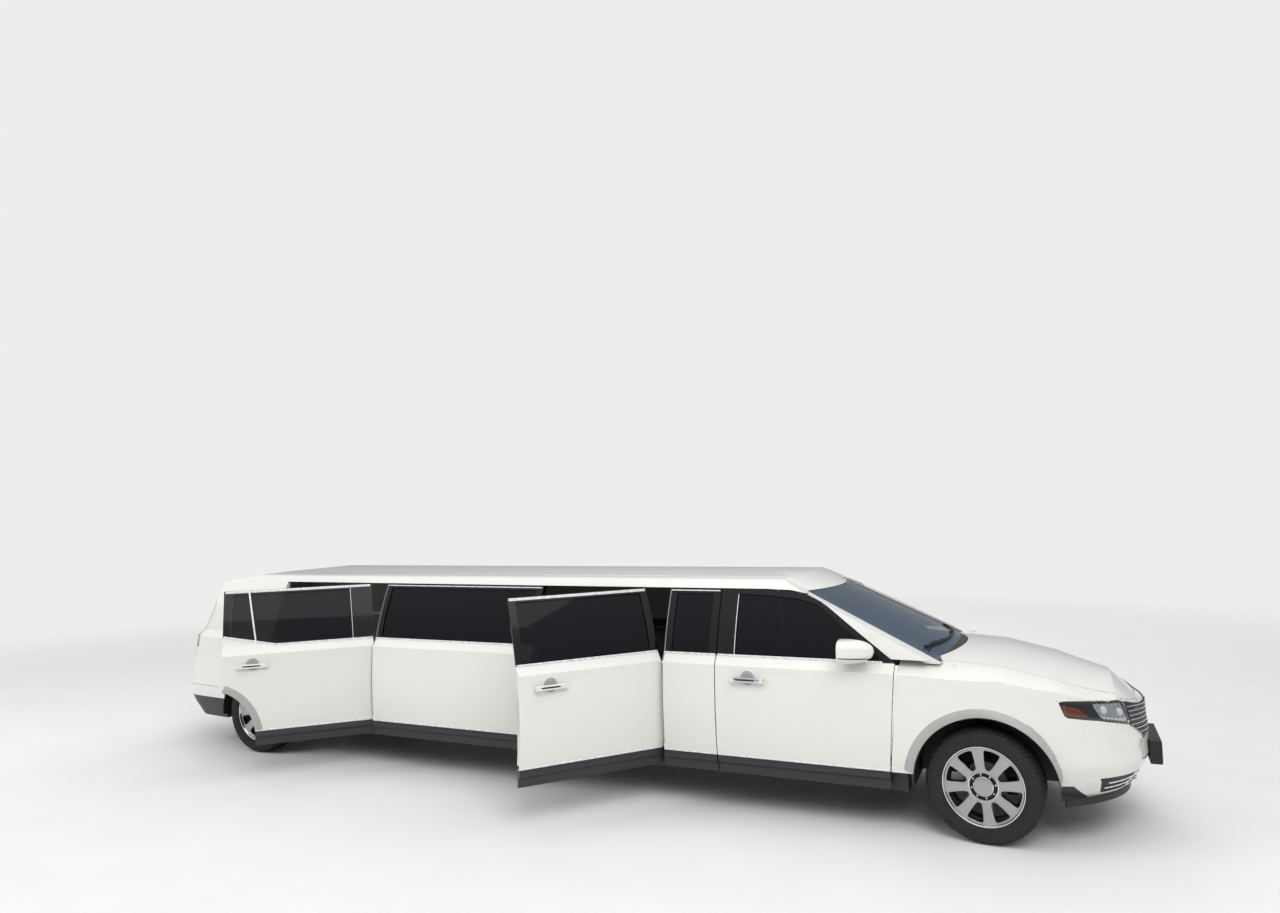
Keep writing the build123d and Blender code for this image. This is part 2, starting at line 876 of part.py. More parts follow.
with BuildPart() as rear_glass:
    add(cabin_block(0, 0, glass_inset))
    add(cabin_block(0, 0, glass_inset + glass_thick), mode=Mode.SUBTRACT)
    extrude(rear_pane, amount=rear_reach, mode=Mode.INTERSECT)
save(rear_glass.part, "rear_glass")

with BuildPart() as rear_bumper:
    add(cabin.part)
    extrude(side_sketch(bumper_points), amount=half_width, both=True, mode=Mode.INTERSECT)
    add(wheel_cut(rear_axle_x, arch_radius, -half_width, half_width), mode=Mode.SUBTRACT)
save(rear_bumper.part, "rear_bumper")

quarter_points = (
    (rear_door_rear - shut_gap, sill_z),
    (rear_arch - arch_half - 10, sill_z),
    (rear_arch - 520 - 4, bumper_top_z + 4),
    (tail_end, bumper_top_z + 4),
    (tail_end, rail_z),
    (rear_door_rear - shut_gap, rail_z),
)
roof_rear_y = 600
with BuildPart() as quarter_right:
    add(cabin.part)
    extrude(side_sketch(quarter_points), amount=half_width, mode=Mode.INTERSECT)
    add(wheel_cut(rear_axle_x, arch_radius, 0, half_width), mode=Mode.SUBTRACT)
    add(box_between(tail_end, 0, -roof_rear_y, 0, 1500, above_all), mode=Mode.SUBTRACT)
    add(tail_prism(hatch_points, shut_gap), mode=Mode.SUBTRACT)
    extrude(side_sketch(bumper_points, seat_gap), amount=half_width, mode=Mode.SUBTRACT)
    add(lamp_room.part, mode=Mode.SUBTRACT)
with BuildPart() as quarters:
    add(quarter_right.part)
    add(mirror(quarter_right.part, about=Plane.XZ))
save(quarters.part, "quarters")

# The roof with its windscreen pillars, the windscreen and the cowl
roof_points = (
    (tail_end, rail_z),
    (-1700, rail_z),
    (-1250, 1500),
    (-700, 1100),
    (cabin_front, 1100),
    (cabin_front, above_all),
    (tail_end, above_all),
)
room_inset = frame_wall + 10
pillar_foot_y = 834
pillar_foot_z = 1165
with BuildPart() as door_room:
    with BuildSketch(Plane.YZ.offset(station(front_door_rear - 100))):
        with BuildLine():
            inner = [(-y, z) for y, z in upper_arc(room_inset, 1050, 1650)]
            ThreePointArc(*inner)
            Polyline(inner[-1], (-half_width, 1650), (-half_width, 1050), inner[0])
        make_face()
    extrude(amount=2000)
    extrude(side_sketch(front_door_points, shut_gap), amount=half_width, mode=Mode.INTERSECT)
    add(box_between(-770, cabin_front, -half_width, -pillar_foot_y, 1050, pillar_foot_z))

screen_reach = 1500
screen_opening = front_sketch(screen_points).moved(Location((station(-screen_reach), 0, 0)))
screen_pane = front_sketch(screen_points, -seat_gap).moved(Location((station(-screen_reach), 0, 0)))
with BuildPart() as roof_zone:
    extrude(side_sketch(roof_points), amount=half_width, both=True)
    add(box_between(tail_end, rear_door_rear, seat_gap - roof_rear_y, roof_rear_y - seat_gap, 1500, 1800))
with BuildPart() as roof:
    add(cabin.part)
    add(roof_zone.part, mode=Mode.INTERSECT)
    add(door_room.part, mode=Mode.SUBTRACT)
    add(mirror(door_room.part, about=Plane.XZ), mode=Mode.SUBTRACT)
    add(tail_prism(hatch_points, shut_gap), mode=Mode.SUBTRACT)
    extrude(screen_opening, amount=screen_reach, mode=Mode.SUBTRACT)
    add(front_top(-seat_gap), mode=Mode.SUBTRACT)
    for middle in (-gate_hinge_y, gate_hinge_y):
        low, high = middle - gate_arm_half, middle + gate_arm_half
        at, top = gate_hinge
        foot = top - gate_arm_drop
        add(box_between(at - arm_half, at + arm_half, low, high, foot, top))
        add(box_between(at - arm_half, hatch_front + 45, low, high, foot, foot + gate_arm_thick))
        add(box_between(hatch_front + 12, hatch_front + 45, low, high, foot, top - shut_gap))
        add(gate_bar(arm_half, middle, 2 * gate_arm_half))
        add(gate_bar(pin_radius, middle, pin_length))
save(roof.part, "roof")

with BuildPart() as windscreen:
    add(screen_slab(2, 2 + screen_thick))
    extrude(screen_pane, amount=screen_reach, mode=Mode.INTERSECT)
    add(front_top(-seat_gap), mode=Mode.SUBTRACT)
save(windscreen.part, "windscreen")

cowl_thick = 18
with BuildPart() as cowl:
    add(top_outer)
    add(front_top(cowl_thick), mode=Mode.SUBTRACT)
    add(
        box_between(-590, cabin_front, seat_gap - cowl_side, cowl_side - seat_gap, 900, 1300),
        mode=Mode.INTERSECT,
    )
    extrude(bonnet_outline(shut_gap), amount=above_all, mode=Mode.SUBTRACT)
save(cowl.part, "cowl")

# The floor with its bulkhead, front rails and wheel housings, and what hangs from it
floor_z = 300
floor_top_z = 330
floor_front = -560
floor_rear = -7150
rail_y_now = 430
rail_width = 60
tub_y = 560
with BuildPart() as floor:
    add(box_between(floor_rear, floor_front, -sill_in + seat_gap, sill_in - seat_gap, floor_z, floor_top_z))
    add(box_between(floor_front - 30, floor_front, -sill_in + seat_gap, sill_in - seat_gap, floor_z, 1080))
    for side in (-1, 1):
        add(box_between(floor_front, 700, side * rail_y_now - rail_width / 2,
                        side * rail_y_now + rail_width / 2, 400, 480))
        add(box_between(-40, 40, side * (280 + seat_gap), side * rail_y_now, 420, 470))
        with BuildSketch(Plane.XZ.offset(-side * tub_y)):
            with Locations((rear_axle_x, axle_z)):
                Circle(arch_radius + 12)
        extrude(amount=-side * (sill_in - tub_y), mode=Mode.SUBTRACT)
        add(
            box_between(rear_arch - 68, rear_arch + 68, side * 290, side * (tub_y + 5), 200, 400),
            mode=Mode.SUBTRACT,
        )
save(floor.part, "floor")

with BuildPart() as engine:
    with Locations((station(0), 0, 620)):
        Box(640, 560, 480)
        chamfer(engine.edges(), 30)
save(engine.part, "engine")

with BuildPart() as radiator:
    add(box_between(700 + seat_gap, 760, -420, 420, 300, 800))
save(radiator.part, "radiator")

# Axles, knuckles and wheels
kingpin_y = track / 2 - kingpin_inset
hub_face_y = track / 2 - 40
stub_radius = 32
stub_play = 0.05
arm_z = 215
arm_thick = 34
arm_width = 60
knuckle_top_z = 520
strut_top_z = 812.5
with BuildPart() as front_axle:
    add(box_between(-170, 170, -460, 460, arm_z - 15, 300))
    for side in (-1, 1):
        middle = side * (400 + kingpin_y + 20) / 2
        with Locations((station(0), middle, arm_z)):
            Box(arm_width, kingpin_y + 20 - 400 + 20, arm_thick)
        with BuildSketch(Plane.XY.offset(arm_z)):
            with Locations((station(0), side * 560)):
                Circle(45)
        extrude(amount=strut_top_z - arm_z)
        add(box_between(-60, 60, side * 405, side * 455, 290, 400 - seat_gap))
save(front_axle.part, "front_axle")

knuckle_bottom_z = arm_z + arm_thick / 2 + seat_gap


def knuckle(side):
    """A front hub carrier with its stub axle."""
    with BuildPart() as carrier:
        with BuildSketch(Plane.XY.offset(knuckle_bottom_z)):
            with Locations((station(0), side * (kingpin_y - 20))):
                RectangleRounded(90, 50, 20)
        extrude(amount=knuckle_top_z - knuckle_bottom_z)
        with BuildSketch(Plane.XZ.offset(-side * (kingpin_y - 30))):
            with Locations((station(0), axle_z)):
                Circle(60)
        extrude(amount=-side * (hub_face_y - kingpin_y + 30))
        with BuildSketch(Plane.XZ.offset(-side * hub_face_y)):
            with Locations((station(0), axle_z)):
                Circle(stub_radius)
        extrude(amount=-side * 55)
    return carrier.part


with BuildPart() as rear_axle:
    add(box_between(rear_arch - 130, rear_arch + 130, -500, 500, 230, 290))
    for side in (-1, 1):
        with BuildSketch(Plane.XZ.offset(-side * 300)):
            with Locations((rear_axle_x, axle_z)):
                Circle(45)
        extrude(amount=-side * (hub_face_y - 300))
        with BuildSketch(Plane.XZ.offset(-side * hub_face_y)):
            with Locations((rear_axle_x, axle_z)):
                Circle(stub_radius)
        extrude(amount=-side * 55)
        add(box_between(rear_arch - 60, rear_arch + 60, side * 360, side * 440, 280, axle_z))
        add(box_between(rear_arch + 90, rear_arch + 125, side * 370, side * 430, 285, floor_z - seat_gap))
save(rear_axle.part, "rear_axle")

# The black liners inside the wheel arches
liner_outer = arch_radius - seat_gap
liner_inner = liner_outer - 6
liner_bottom_z = 335


def liner(axle_x, near, far, wall_near, hole):
    """A right-hand wheel arch's liner: a half tube closed by a wall on its inner side."""
    with BuildPart() as shell:
        add(wheel_cut(axle_x, liner_outer, near, far))
        add(wheel_cut(axle_x, liner_inner, near + wall_near, far + 10), mode=Mode.SUBTRACT)
        if hole:
            add(wheel_cut(axle_x, hole, near - 10, far), mode=Mode.SUBTRACT)
        with Locations((axle_x, 0, liner_bottom_z - arch_radius)):
            Box(3 * arch_radius, 2 * half_width, 2 * arch_radius, mode=Mode.SUBTRACT)
    return shell.part


rear_liner_side = bulge_y - door_wall - 8
with BuildPart() as rim_edge:
    add(wheel_cut(rear_axle_x, liner_outer, rear_liner_side - 1, 950))
    add(wheel_cut(rear_axle_x, liner_inner, 0, half_width), mode=Mode.SUBTRACT)
    add(
        box_between(tail_end, rear_door_rear - 12, -half_width, 0, liner_bottom_z, above_all),
        mode=Mode.INTERSECT,
    )
with BuildPart() as rear_liner:
    add(liner(rear_axle_x, tub_y + 1, rear_liner_side, 6, 60))
    add(rim_edge.part)
with BuildPart() as wheel_liners:
    for shape in (liner(front_axle_x, 505, 950, 6, 0), rear_liner.part):
        add(shape)
        add(mirror(shape, about=Plane.XZ))
save(wheel_liners.part, "wheel_liners")

spoke_count = 8
spoke_width = 64
spoke_thick = 30
rim_depth = 205
rim_wall = 9
flange = 16
flange_width = 12
face_out = 85
cap_radius = 52
cap_out = 10
hub_radius = 80
hub_in = track / 2 - hub_face_y - seat_gap

with BuildPart() as rim:
    half = rim_depth / 2
    well = rim_radius - flange - 12
    with BuildSketch(Plane.XY):
        with BuildLine():
            Polyline(
                (rim_radius - flange, -half),
                (rim_radius, -half),
                (rim_radius, flange_width - half),
                (rim_radius - flange, flange_width + 18 - half),
                (well, 0),
                (rim_radius - flange, half - flange_width - 18),
                (rim_radius, half - flange_width),
                (rim_radius, half),
                (rim_radius - flange, half),
                (rim_radius - flange - rim_wall, half - 10),
                (well - rim_wall, 0),
                (rim_radius - flange - rim_wall, 10 - half),
                close=True,
            )
        make_face()
    revolve(axis=Axis.Y)
    with BuildSketch(Plane.XZ.offset(face_out - spoke_thick)):
        with PolarLocations((hub_radius + well) / 2, spoke_count):
            Rectangle(well - hub_radius + 30, spoke_width)
        Circle(hub_radius)
        Circle(well + 6, mode=Mode.INTERSECT)
    extrude(amount=spoke_thick)
    with BuildSketch(Plane.XZ.offset(-hub_in)):
        Circle(hub_radius)
        Circle(stub_radius + stub_play, mode=Mode.SUBTRACT)
    extrude(amount=hub_in + face_out - spoke_thick)
    with BuildSketch(Plane.XZ.offset(face_out)):
        Circle(cap_radius)
    extrude(amount=cap_out)

bead_y = 98
tread_y = 84
shoulder_radius = 354
with BuildPart() as tyre:
    with BuildSketch(Plane.XY):
        with BuildLine():
            bead = rim_radius + seat_gap
            for turn in (-1, 1):
                ThreePointArc(
                    (bead, turn * bead_y), (308, turn * tyre_width / 2), (shoulder_radius, turn * 106)
                )
                Line((shoulder_radius, turn * 106), (tyre_radius, turn * tread_y))
            Line((tyre_radius, -tread_y), (tyre_radius, tread_y))
            Line((bead, -bead_y), (bead, bead_y))
        make_face()
    revolve(axis=Axis.Y)

right_tyre, right_rim = tyre.part, rim.part
left_tyre, left_rim = mirror(right_tyre, about=Plane.XZ), mirror(right_rim, about=Plane.XZ)
for side, name, one_tyre, one_rim in ((-1, "right", right_tyre, right_rim), (1, "left", left_tyre, left_rim)):
    place = Location((0, side * track / 2, axle_z))
    rear_place = place * Location((rear_axle_x, 0, 0))
    front_place = place * Location((front_axle_x, 0, 0))
    kingpin = (front_axle_x, side * kingpin_y)
    save(one_tyre.moved(rear_place), f"tyre_rear_{name}")
    save(one_rim.moved(rear_place), f"wheel_rear_{name}")
    save(swing(one_tyre.moved(front_place), *kingpin, -steer_now), f"tyre_front_{name}")
    save(swing(one_rim.moved(front_place), *kingpin, -steer_now), f"wheel_front_{name}")
    save(swing(knuckle(side), *kingpin, -steer_now), f"knuckle_{name}")

# What shows inside the cabin
seat_base_z = floor_top_z + seat_gap
dash_side = (
    (floor_front - 30 - seat_gap, 1075),
    (-900, 1060),
    (-965, 980),
    (-900, 830),
    (-660, 760),
    (floor_front - 30 - seat_gap, 760),
)
seat_side = (
    (-1270, seat_base_z),
    (-1240, 560),
    (-1700, 535),
    (-1830, 1010),
    (-1900, 1240),
    (-1985, 1220),
    (-1900, 700),
    (-1840, seat_base_z),
)
rear_seat_side = (
    (-5960, seat_base_z),
    (-5940, 700),
    (-6360, 690),
    (-6450, 1130),
    (-6540, 1130),
    (-6480, seat_base_z),
)
with BuildPart() as dashboard:
    extrude(side_sketch(dash_side), amount=690, both=True)
save(dashboard.part, "dashboard")

wheel_plane = Plane(origin=(station(-1075), 380, 985), z_dir=(-1, 0, 0.45))
with BuildPart() as steering_wheel:
    with Locations(wheel_plane):
        Torus(180, 15)
        Box(345, 40, 20)
        with Locations((0, 0, -80)):
            Cylinder(40, 180)
    extrude(side_sketch(dash_side, seat_gap), amount=700, both=True, mode=Mode.SUBTRACT)
    add(box_between(-930, -500, 0, 700, 0, above_all), mode=Mode.SUBTRACT)
save(steering_wheel.part, "steering_wheel")

with BuildPart() as front_seats:
    for side in (-1, 1):
        with BuildSketch(Plane.XZ.offset(side * 380 - 260)):
            add(side_sketch(seat_side))
        extrude(amount=520)
save(front_seats.part, "front_seats")

with BuildPart() as rear_seats:
    add(box_between(-5050, -2150, 300, sill_in - seat_gap, seat_base_z, 740))
    add(box_between(-5050, -2150, 560, sill_in - seat_gap, 740, 1100))
    extrude(side_sketch(rear_seat_side), amount=540, both=True)
save(rear_seats.part, "rear_seats")

mirror_x = -755
mirror_z = 1216
mirror_foot_z = 1142
mirror_foot_y = glass_side(0, mirror_foot_z)[0] + seat_gap
with BuildPart() as door_mirror:
    with BuildSketch(Plane.YZ.offset(station(mirror_x - 70))):
        with Locations((-1000, mirror_z)):
            RectangleRounded(200, 165, 60)
    extrude(amount=140)
    fillet(door_mirror.faces().sort_by(Axis.X)[-1].edges(), 50)
    add(box_between(mirror_x - 45, mirror_x + 35, -960, -mirror_foot_y, mirror_foot_z, 1175))
save(door_mirror.part, "mirror_right")
save(mirror(door_mirror.part, about=Plane.XZ), "mirror_left")
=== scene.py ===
"""Stretch limousine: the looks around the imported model.

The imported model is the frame. Its nodes keep their places and get their finishes here, and some
are replaced by smoother or more detailed pieces made of computed surfaces.
"""

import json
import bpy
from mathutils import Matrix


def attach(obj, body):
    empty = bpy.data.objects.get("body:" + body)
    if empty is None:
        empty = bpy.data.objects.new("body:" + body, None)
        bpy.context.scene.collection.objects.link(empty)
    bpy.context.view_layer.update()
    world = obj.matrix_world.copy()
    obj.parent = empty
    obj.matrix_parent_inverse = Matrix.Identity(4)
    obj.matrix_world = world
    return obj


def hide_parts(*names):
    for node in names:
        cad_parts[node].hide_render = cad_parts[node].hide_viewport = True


bl_info = {
    "name": "Stretch limousine",
    "version": (1, 0, 0),
    "blender": (4, 5, 0),
    "location": "3D View > Sidebar > Limousine",
    "description": "Finishes and details of a stretch limousine round its packed model",
    "category": "Object",
}

import bmesh
import bpy
import numpy as np
from bpy.props import FloatProperty, FloatVectorProperty, IntProperty, PointerProperty
from mathutils import Matrix, Vector

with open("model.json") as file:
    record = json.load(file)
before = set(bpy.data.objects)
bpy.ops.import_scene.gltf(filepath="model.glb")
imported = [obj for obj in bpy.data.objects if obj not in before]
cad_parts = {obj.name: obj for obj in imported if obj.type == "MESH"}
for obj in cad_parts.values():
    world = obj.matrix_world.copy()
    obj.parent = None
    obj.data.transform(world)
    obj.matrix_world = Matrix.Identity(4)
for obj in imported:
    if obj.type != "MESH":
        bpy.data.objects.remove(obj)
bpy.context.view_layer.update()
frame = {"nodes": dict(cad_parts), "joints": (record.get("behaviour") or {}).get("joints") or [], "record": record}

# Places that come from the frame. A station is a distance forward of the front axle.
joints = {joint["name"]: joint for joint in frame["joints"]}
axle_x, _, axle_z = joints["steer_right"]["pos_m"]
rear_axle_x = joints["wheel_rear_right_spin"]["pos_m"][0]
sides = (("right", -1), ("left", 1))

# What carried takes as up for a path that is itself upright
upright = (1, 0, 0)
# A point that moves less than this has met nothing, and points nearer than the gap are welded
still = 1e-6
weld_gap = 0.00002
smooth_angle = np.radians(24)
# The seat crown at which each pad has the crown in its row
usual_crown = 0.025

# The body side's half width at each height. Over the belt it is glass, on a slight arc.
belt_z = 1.137
rail_z = 1.617
wall_z = (0.29, 0.416, 0.513, 0.79, 1.073, belt_z, rail_z)
wall_y = (0.93, 0.945, 0.962, 0.968, 0.955, 0.905, 0.722)
glass_bulge = 0.014
sill_z = 0.416

# Panels along each side: body, side, front station, rear station
panels = (
    ("front_door_right", -1, -0.6, -1.84), ("shell", -1, -1.846, -2.273),
    ("middle_door_right", -1, -2.279, -3.431), ("shell", -1, -3.437, -5.11),
    ("rear_door_right", -1, -5.116, -6.36), ("front_door_left", 1, -0.6, -1.84),
    ("shell", 1, -1.846, -5.11), ("rear_door_left", 1, -5.116, -6.36),
)
# Behind this station the belt rises towards the tail
kick_station = -5.93
kick_slope = 0.21


def at(station):
    """The x of a station."""
    return axle_x + np.asarray(station, float)


def points_of(*parts):
    """Coordinates put together as points, with one number standing for all."""
    return np.stack(np.broadcast_arrays(*parts), axis=-1)


def wall(height):
    """The side's half width: straight between its corners, plus 4 b t (1 - t) over the belt."""
    share = np.clip((height - belt_z) / (rail_z - belt_z), 0, 1)
    return np.interp(height, wall_z, wall_y) + 4 * glass_bulge * share * (1 - share)


def on_wall(stations, heights, side, proud):
    """Points on the body side, a distance proud of it."""
    return points_of(at(stations), side * (wall(heights) + proud), heights)


def swing_of(body):
    """How far a door that stands open at rest has turned, and the foot of its axis."""
    joint = joints.get(f"{body}_hinge")
    if joint is None:
        return 0.0, np.zeros(3)
    return -np.radians(joint["range_deg"][0]), np.array(joint["pos_m"])


def swung(points, body):
    """Points given for a closed door, turned about its upright axis to where it rests."""
    turn, foot = swing_of(body)
    cos, sin = np.cos(turn), np.sin(turn)
    matrix = np.array([[cos, -sin, 0], [sin, cos, 0], [0, 0, 1]])
    return (points - foot) @ matrix.T + foot


# Surfaces

def unit(vectors):
    """Vectors divided by their lengths."""
    return vectors / np.linalg.norm(vectors, axis=-1, keepdims=True)


def reach_of(points):
    """How far along a line each of its points is: the sum of the steps before it."""
    return np.concatenate([[0], np.cumsum(np.linalg.norm(np.diff(points, axis=0), axis=1))])


def along_line(points, shares):
    """Places at shares of a line's length, straight between its points."""
    reach = reach_of(points)
    return points_of(*(np.interp(shares * reach[-1], reach, column) for column in points.T))


def smooth(points, count):
    """A smooth line through points: on each run, the cubic with the slopes at its two ends."""
    reach = reach_of(points)
    slope = np.gradient(points, reach, axis=0)
    place = np.linspace(0, reach[-1], count)
    run = np.clip(np.searchsorted(reach, place, side="right") - 1, 0, len(points) - 2)
    length = (reach[run + 1] - reach[run])[:, None]
    t = (place - reach[run])[:, None] / length
    ends = (1 + 2 * t) * (1 - t) ** 2 * points[run] + t ** 2 * (3 - 2 * t) * points[run + 1]
    slopes = t * (1 - t) ** 2 * slope[run] + t ** 2 * (t - 1) * slope[run + 1]
    return ends + slopes * length


def full_turn(count):
    """Angles evenly spaced round a circle."""
    return np.linspace(0, 2 * np.pi, count, endpoint=False)


def squared(wave, power):
    """sign(w) |w|^(2 / p), which squares off a circle's sine or cosine."""
    return np.sign(wave) * np.abs(wave) ** (2 / power)


def oval(wide, tall, power=2.5, count=16):
    """A loop |u / a|^p + |v / b|^p = 1, for sections."""
    angle = full_turn(count)
    u, v = squared(np.cos(angle), power), squared(np.sin(angle), power)
    return points_of(u * wide / 2, v * tall / 2)


def carried(path, section, up=(0, 0, 1)):
    """A section carried along a path: point + across * u + above * v, its ends closed.

    Across is the path's direction times up, and above is across times the direction.
    """
    along = unit(np.gradient(path, axis=0))
    across = unit(np.cross(along, up))
    above = np.cross(across, along)
    u, v = section.T[..., None]
    rows = path[:, None] + across[:, None] * u + above[:, None] * v
    first, last = (np.broadcast_to(row.mean(axis=0), row.shape) for row in (rows[0], rows[-1]))
    return np.concatenate([first[None], rows, last[None]])


def ring_of(path, radius, count=10):
    """A round section carried along a closed loop in an upright plane."""
    along = unit(np.roll(path, -1, axis=0) - np.roll(path, 1, axis=0))
    out = unit(path - path.mean(axis=0))
    third = np.cross(along, out)
    angle = full_turn(count)[None, :, None]
    return path[:, None] + radius * (out[:, None] * np.cos(angle) + third[:, None] * np.sin(angle))


def slab(front, back):
    """A shell round two grids: each row runs over the front and back behind it."""
    loop = np.concatenate([front, back[:, ::-1]], axis=1)
    middle = (front + back) / 2
    ends = np.concatenate([middle, middle[:, ::-1]], axis=1)
    return np.concatenate([ends[:1], loop, ends[-1:]])


def rounded_block(centre, half, along, across, turns=32, levels=21):
    """A block |x / a|^p + (|y / b|^q + |z / c|^q)^(p / q) = 1 with its poles on the x axis."""
    angle = np.linspace(-np.pi / 2, np.pi / 2, levels)[:, None]
    rise, girth = squared(np.sin(angle), along), squared(np.cos(angle), along)
    y, z = oval(2, 2, across, turns).T
    return points_of(rise, girth * y, girth * z) * half + centre


def place_object(name, data):
    """A new object in the scene."""
    thing = bpy.data.objects.new(name, data)
    bpy.context.scene.collection.objects.link(thing)
    return thing


def shrunk(points, names, lift, axis=None):
    """Moves points to CAD nodes and lifts them off: to the nearest place, or along an axis.

    The second result says how far each point moved. Along an axis, a point that meets nothing
    stays, so its distance is 0.
    """
    flat = points.reshape(-1, 3)
    found = []
    for name in names:
        mesh = bpy.data.meshes.new("probe")
        mesh.from_pydata(flat.tolist(), [], [])
        probe = place_object("probe", mesh)
        wrap = probe.modifiers.new("wrap", "SHRINKWRAP")
        wrap.wrap_method = "PROJECT" if axis else "NEAREST_SURFACEPOINT"
        wrap.wrap_mode = "ABOVE_SURFACE"
        wrap.target = frame["nodes"][name]
        wrap.offset = lift
        if axis:
            setattr(wrap, f"use_project_{axis}", True)
            wrap.use_positive_direction = True
            wrap.use_negative_direction = True
        result = probe.evaluated_get(bpy.context.evaluated_depsgraph_get()).data
        places = np.empty(flat.size)
        result.vertices.foreach_get("co", places)
        found.append(places.reshape(-1, 3))
        bpy.data.objects.remove(probe)
        bpy.data.meshes.remove(mesh)
    found = np.array(found)
    moved = np.linalg.norm(found - flat, axis=2)
    nearest = np.argmin(np.where(moved < still, np.inf, moved), axis=0)
    pick = (nearest, np.arange(len(flat)))
    return found[pick].reshape(points.shape), moved[pick].reshape(points.shape[:-1])


def laid_on(points, names, lift, axis=None):
    """Points on CAD nodes, reached along an axis where that meets one, or else the nearest."""
    if axis is None:
        return shrunk(points, names, lift)[0]
    along, moved = shrunk(points, names, lift, axis)
    middle = points.copy()
    missed = moved < still
    inner = along[~missed]
    if missed.any() and len(inner):
        column = "xyz".index(axis)
        middle[..., column] = inner[..., column].mean()
    return np.where(missed[..., None], shrunk(middle, names, lift)[0], along)


def laid_slab(points, names, lift, axis):
    """A raised patch on CAD nodes: full height inside, down to the surface round its edges.

    Its height at u, v in -1 .. 1 is lift (1 - u^8) (1 - v^8), and its back is 3 mm under.
    """
    low, high, back = (laid_on(points, names, out, axis) for out in (0.0005, lift, -0.003))
    along, across = (1 - np.linspace(-1, 1, count) ** 8 for count in points.shape[:2])
    return slab(low + (high - low) * (along[:, None] * across)[..., None], back)


def between(first, second, rows, columns):
    """A grid between two lines of points: row t is on both lines at t, columns blend across."""
    place = np.linspace(0, 1, rows)
    one, two = (along_line(np.array(line), place)[:, None] for line in (first, second))
    share = np.linspace(0, 1, columns)[:, None]
    return one * (1 - share) + two * share


def side_view(grid, side):
    """Stations and heights as points outside the car, to be laid on its side."""
    station, height = np.moveaxis(grid, -1, 0)
    return points_of(at(station), side * 1.1, height)


def front_view(grid, side):
    """Half widths and heights as points ahead of the car, to be laid on its front."""
    out, height = np.moveaxis(grid, -1, 0)
    return points_of(at(1.3), side * out, height)


def quads(rows, columns, closed):
    """Corner numbers of a grid's faces. Closed says which of its ways joins its end to its start."""
    row = np.arange(rows if "rows" in closed else rows - 1)[:, None]
    column = np.arange(columns if "columns" in closed else columns - 1)[None, :]
    next_row, next_column = (row + 1) % rows, (column + 1) % columns
    corners = (
        row * columns + column, row * columns + next_column,
        next_row * columns + next_column, next_row * columns + column,
    )
    return np.stack(corners, axis=-1).reshape(-1, 4)


def make_piece(name, body, finish_names, grids, replaces=(), sharp=35):
    """Welds grids of points into one piece that rides on a body.

    A grid is its points, the ways in which it closes and the number of its finish, or only its
    points, which close across the columns and take the first finish.
    """
    corners, faces, numbers = [], [], []
    start = 0
    for grid in grids:
        points, closed, number = grid if isinstance(grid, tuple) else (grid, "columns", 0)
        rows, columns = points.shape[:2]
        part = quads(rows, columns, closed) + start
        corners.append(points.reshape(-1, 3))
        faces.append(part)
        numbers.append(np.full(len(part), number))
        start += rows * columns
    mesh = bpy.data.meshes.new(name)
    mesh.from_pydata(np.concatenate(corners).tolist(), [], np.concatenate(faces).tolist())
    for finish_name in finish_names.split():
        mesh.materials.append(finishes[finish_name])
    mesh.polygons.foreach_set("material_index", np.concatenate(numbers).astype(np.int32))
    work = bmesh.new()
    work.from_mesh(mesh)
    bmesh.ops.remove_doubles(work, verts=work.verts, dist=weld_gap)
    bmesh.ops.recalc_face_normals(work, faces=work.faces)
    work.to_mesh(mesh)
    work.free()
    mesh.shade_smooth()
    mesh.set_sharp_from_angle(angle=np.radians(sharp))
    piece = place_object(name, mesh)
    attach(piece, body)
    if replaces:
        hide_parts(*replaces)
    return piece


# Colours and materials

noise = "ShaderNodeTexNoise"
cells = "ShaderNodeTexVoronoi"
ranged = "ShaderNodeMapRange"
maths = "ShaderNodeMath"
blend = "ShaderNodeMix"


def linear(text):
    """An sRGB hex colour as linear red, green, blue and alpha."""
    values = np.array([int(text[i:i + 2], 16) for i in (1, 3, 5)]) / 255
    high = ((values + 0.055) / 1.055) ** 2.4
    return (*np.where(values <= 0.04045, values / 12.92, high).tolist(), 1.0)


def add_node(tree, kind, inputs=(), **settings):
    """Adds one node, sets its properties, and sets or links its inputs, by name or in order.

    A node given as an input stands for its first output.
    """
    node = tree.nodes.new(kind)
    for name, value in settings.items():
        setattr(node, name, value)
    for key, value in inputs.items() if isinstance(inputs, dict) else enumerate(inputs):
        if isinstance(value, bpy.types.Node):
            value = value.outputs[0]
        if isinstance(value, bpy.types.NodeSocket):
            tree.links.new(value, node.inputs[key])
        else:
            node.inputs[key].default_value = value
    return node


